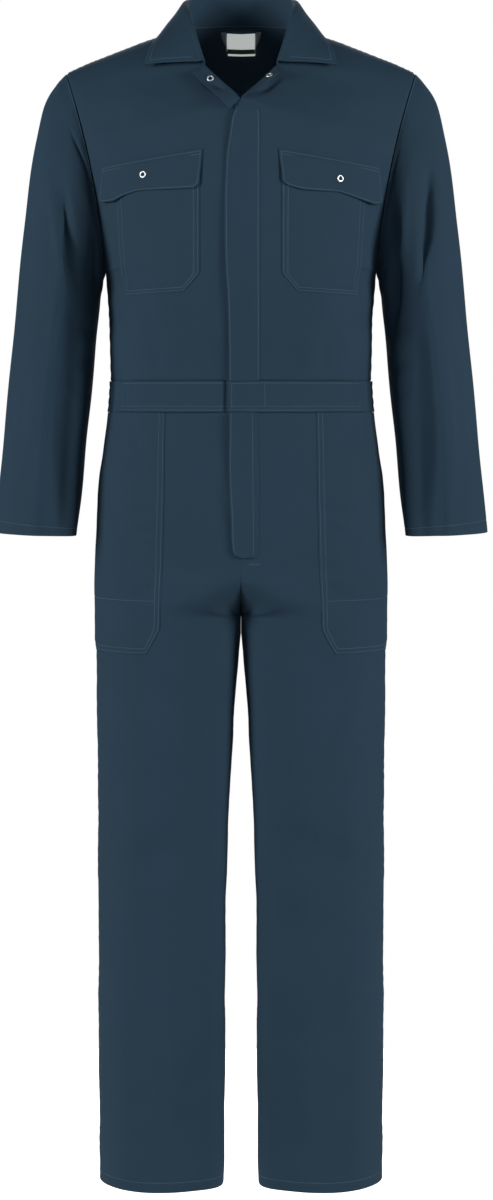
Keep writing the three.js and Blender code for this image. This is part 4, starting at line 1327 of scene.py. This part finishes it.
loop = cloth("hanger_loop", loop_place, line(0, 1, 40), line(-0.5, 0.5, 4), kind="tape",
             held=None, wall=0.8, finish=grey)
label_across = line(-LABEL_HALF, LABEL_HALF, 12)
# The label's foot and its main piece are in the satin with the painted glow
band, foot = (
    cloth("neck_label", inside_back(depth), across, along, (), kind, held=None, wall=0.7,
          finish=finish)
    for kind, depth, across, along, finish in (
        ("band", BAND_DEPTH, label_across, line(-6.5, -0.5, 4), green),
        ("foot", FOOT_DEPTH, line(-19, LABEL_HALF, 12), line(-9.5, -5, 4), satin),
    )
)
cloth("neck_label", inside_back(LABEL_DEPTH), label_across, line(-3.5, 19, 10), held="laid",
      wall=0.7, finish=satin)

# Camera, light and floor: the picture's half height and the focal length are in pixels
HALF_PICTURE, FOCAL_LENGTH, TILT = 600, 2834, 4.03
FLOOR_HEIGHT, FLOOR_HALF = -1.76, 1.6
camera = bpy.data.cameras.new("camera")
camera.sensor_fit = "VERTICAL"
camera.sensor_height = 36
camera.angle_y = 2 * math.atan(HALF_PICTURE / FOCAL_LENGTH)
eye = shown("camera", camera)
eye.location = (0.0076, -3.9, -0.488)
eye.rotation_euler = (math.radians(90 - TILT), 0, 0)
bpy.context.scene.camera = eye
bpy.context.scene.view_settings.view_transform = "Standard"


def lamp(name, place, aim, size, power):
    data = bpy.data.lights.new(name, "AREA")
    data.shape = "RECTANGLE"
    data.size, data.size_y = size
    data.energy = power
    made = shown(name, data)
    made.location = place
    made.rotation_euler = (Vector(aim) - Vector(place)).to_track_quat("-Z", "Y").to_euler()


for name, x in (("left light", -3.5), ("right light", 3.5)):
    lamp(name, (x, -1.85, 0.25), (0, 0, -0.1), (1.0, 1.6), 122)
lamp("front light", (0.0, -4.5, 0.1), (0, 0, -0.4), (0.8, 0.8), 17)
lamp("back light", (0, 3.4, 1.4), (0, 0, -0.6), (2.2, 1.6), 110)

world = bpy.data.worlds.new("studio")
bpy.context.scene.world = world
world.use_nodes = True
tree = world.node_tree
soft = set_up(tree.nodes["Background"], Color=(0.95, 0.98, 1, 1), Strength=0.05)
paper = node_of(tree, "ShaderNodeBackground", Color=(1, 1, 1, 1), Strength=1.0)
choose = node_of(tree, "ShaderNodeMixShader")
join(node_of(tree, "ShaderNodeLightPath"), "Is Camera Ray", choose, "Fac")
join(soft, "Background", choose, 1)
join(paper, "Background", choose, 2)
join(choose, "Shader", tree.nodes["World Output"], "Surface")

bm = bmesh.new()
bmesh.ops.create_grid(bm, x_segments=1, y_segments=1, size=FLOOR_HALF)
bmesh.ops.translate(bm, verts=bm.verts, vec=(0, 0, FLOOR_HEIGHT))
floor_mesh = bpy.data.meshes.new("floor")
bm.to_mesh(floor_mesh)
bm.free()
floor = shown("floor", floor_mesh)
pale, tree, plain = new_finish("pale floor")
set_up(plain, Roughness=0.8,
       **{"Base Color": (0.6, 0.6, 0.6, 1), "Emission Color": (1, 1, 1, 1)})
join(node_of(tree, "ShaderNodeLightPath"), "Is Camera Ray", plain, "Emission Strength")
floor_mesh.materials.append(pale)
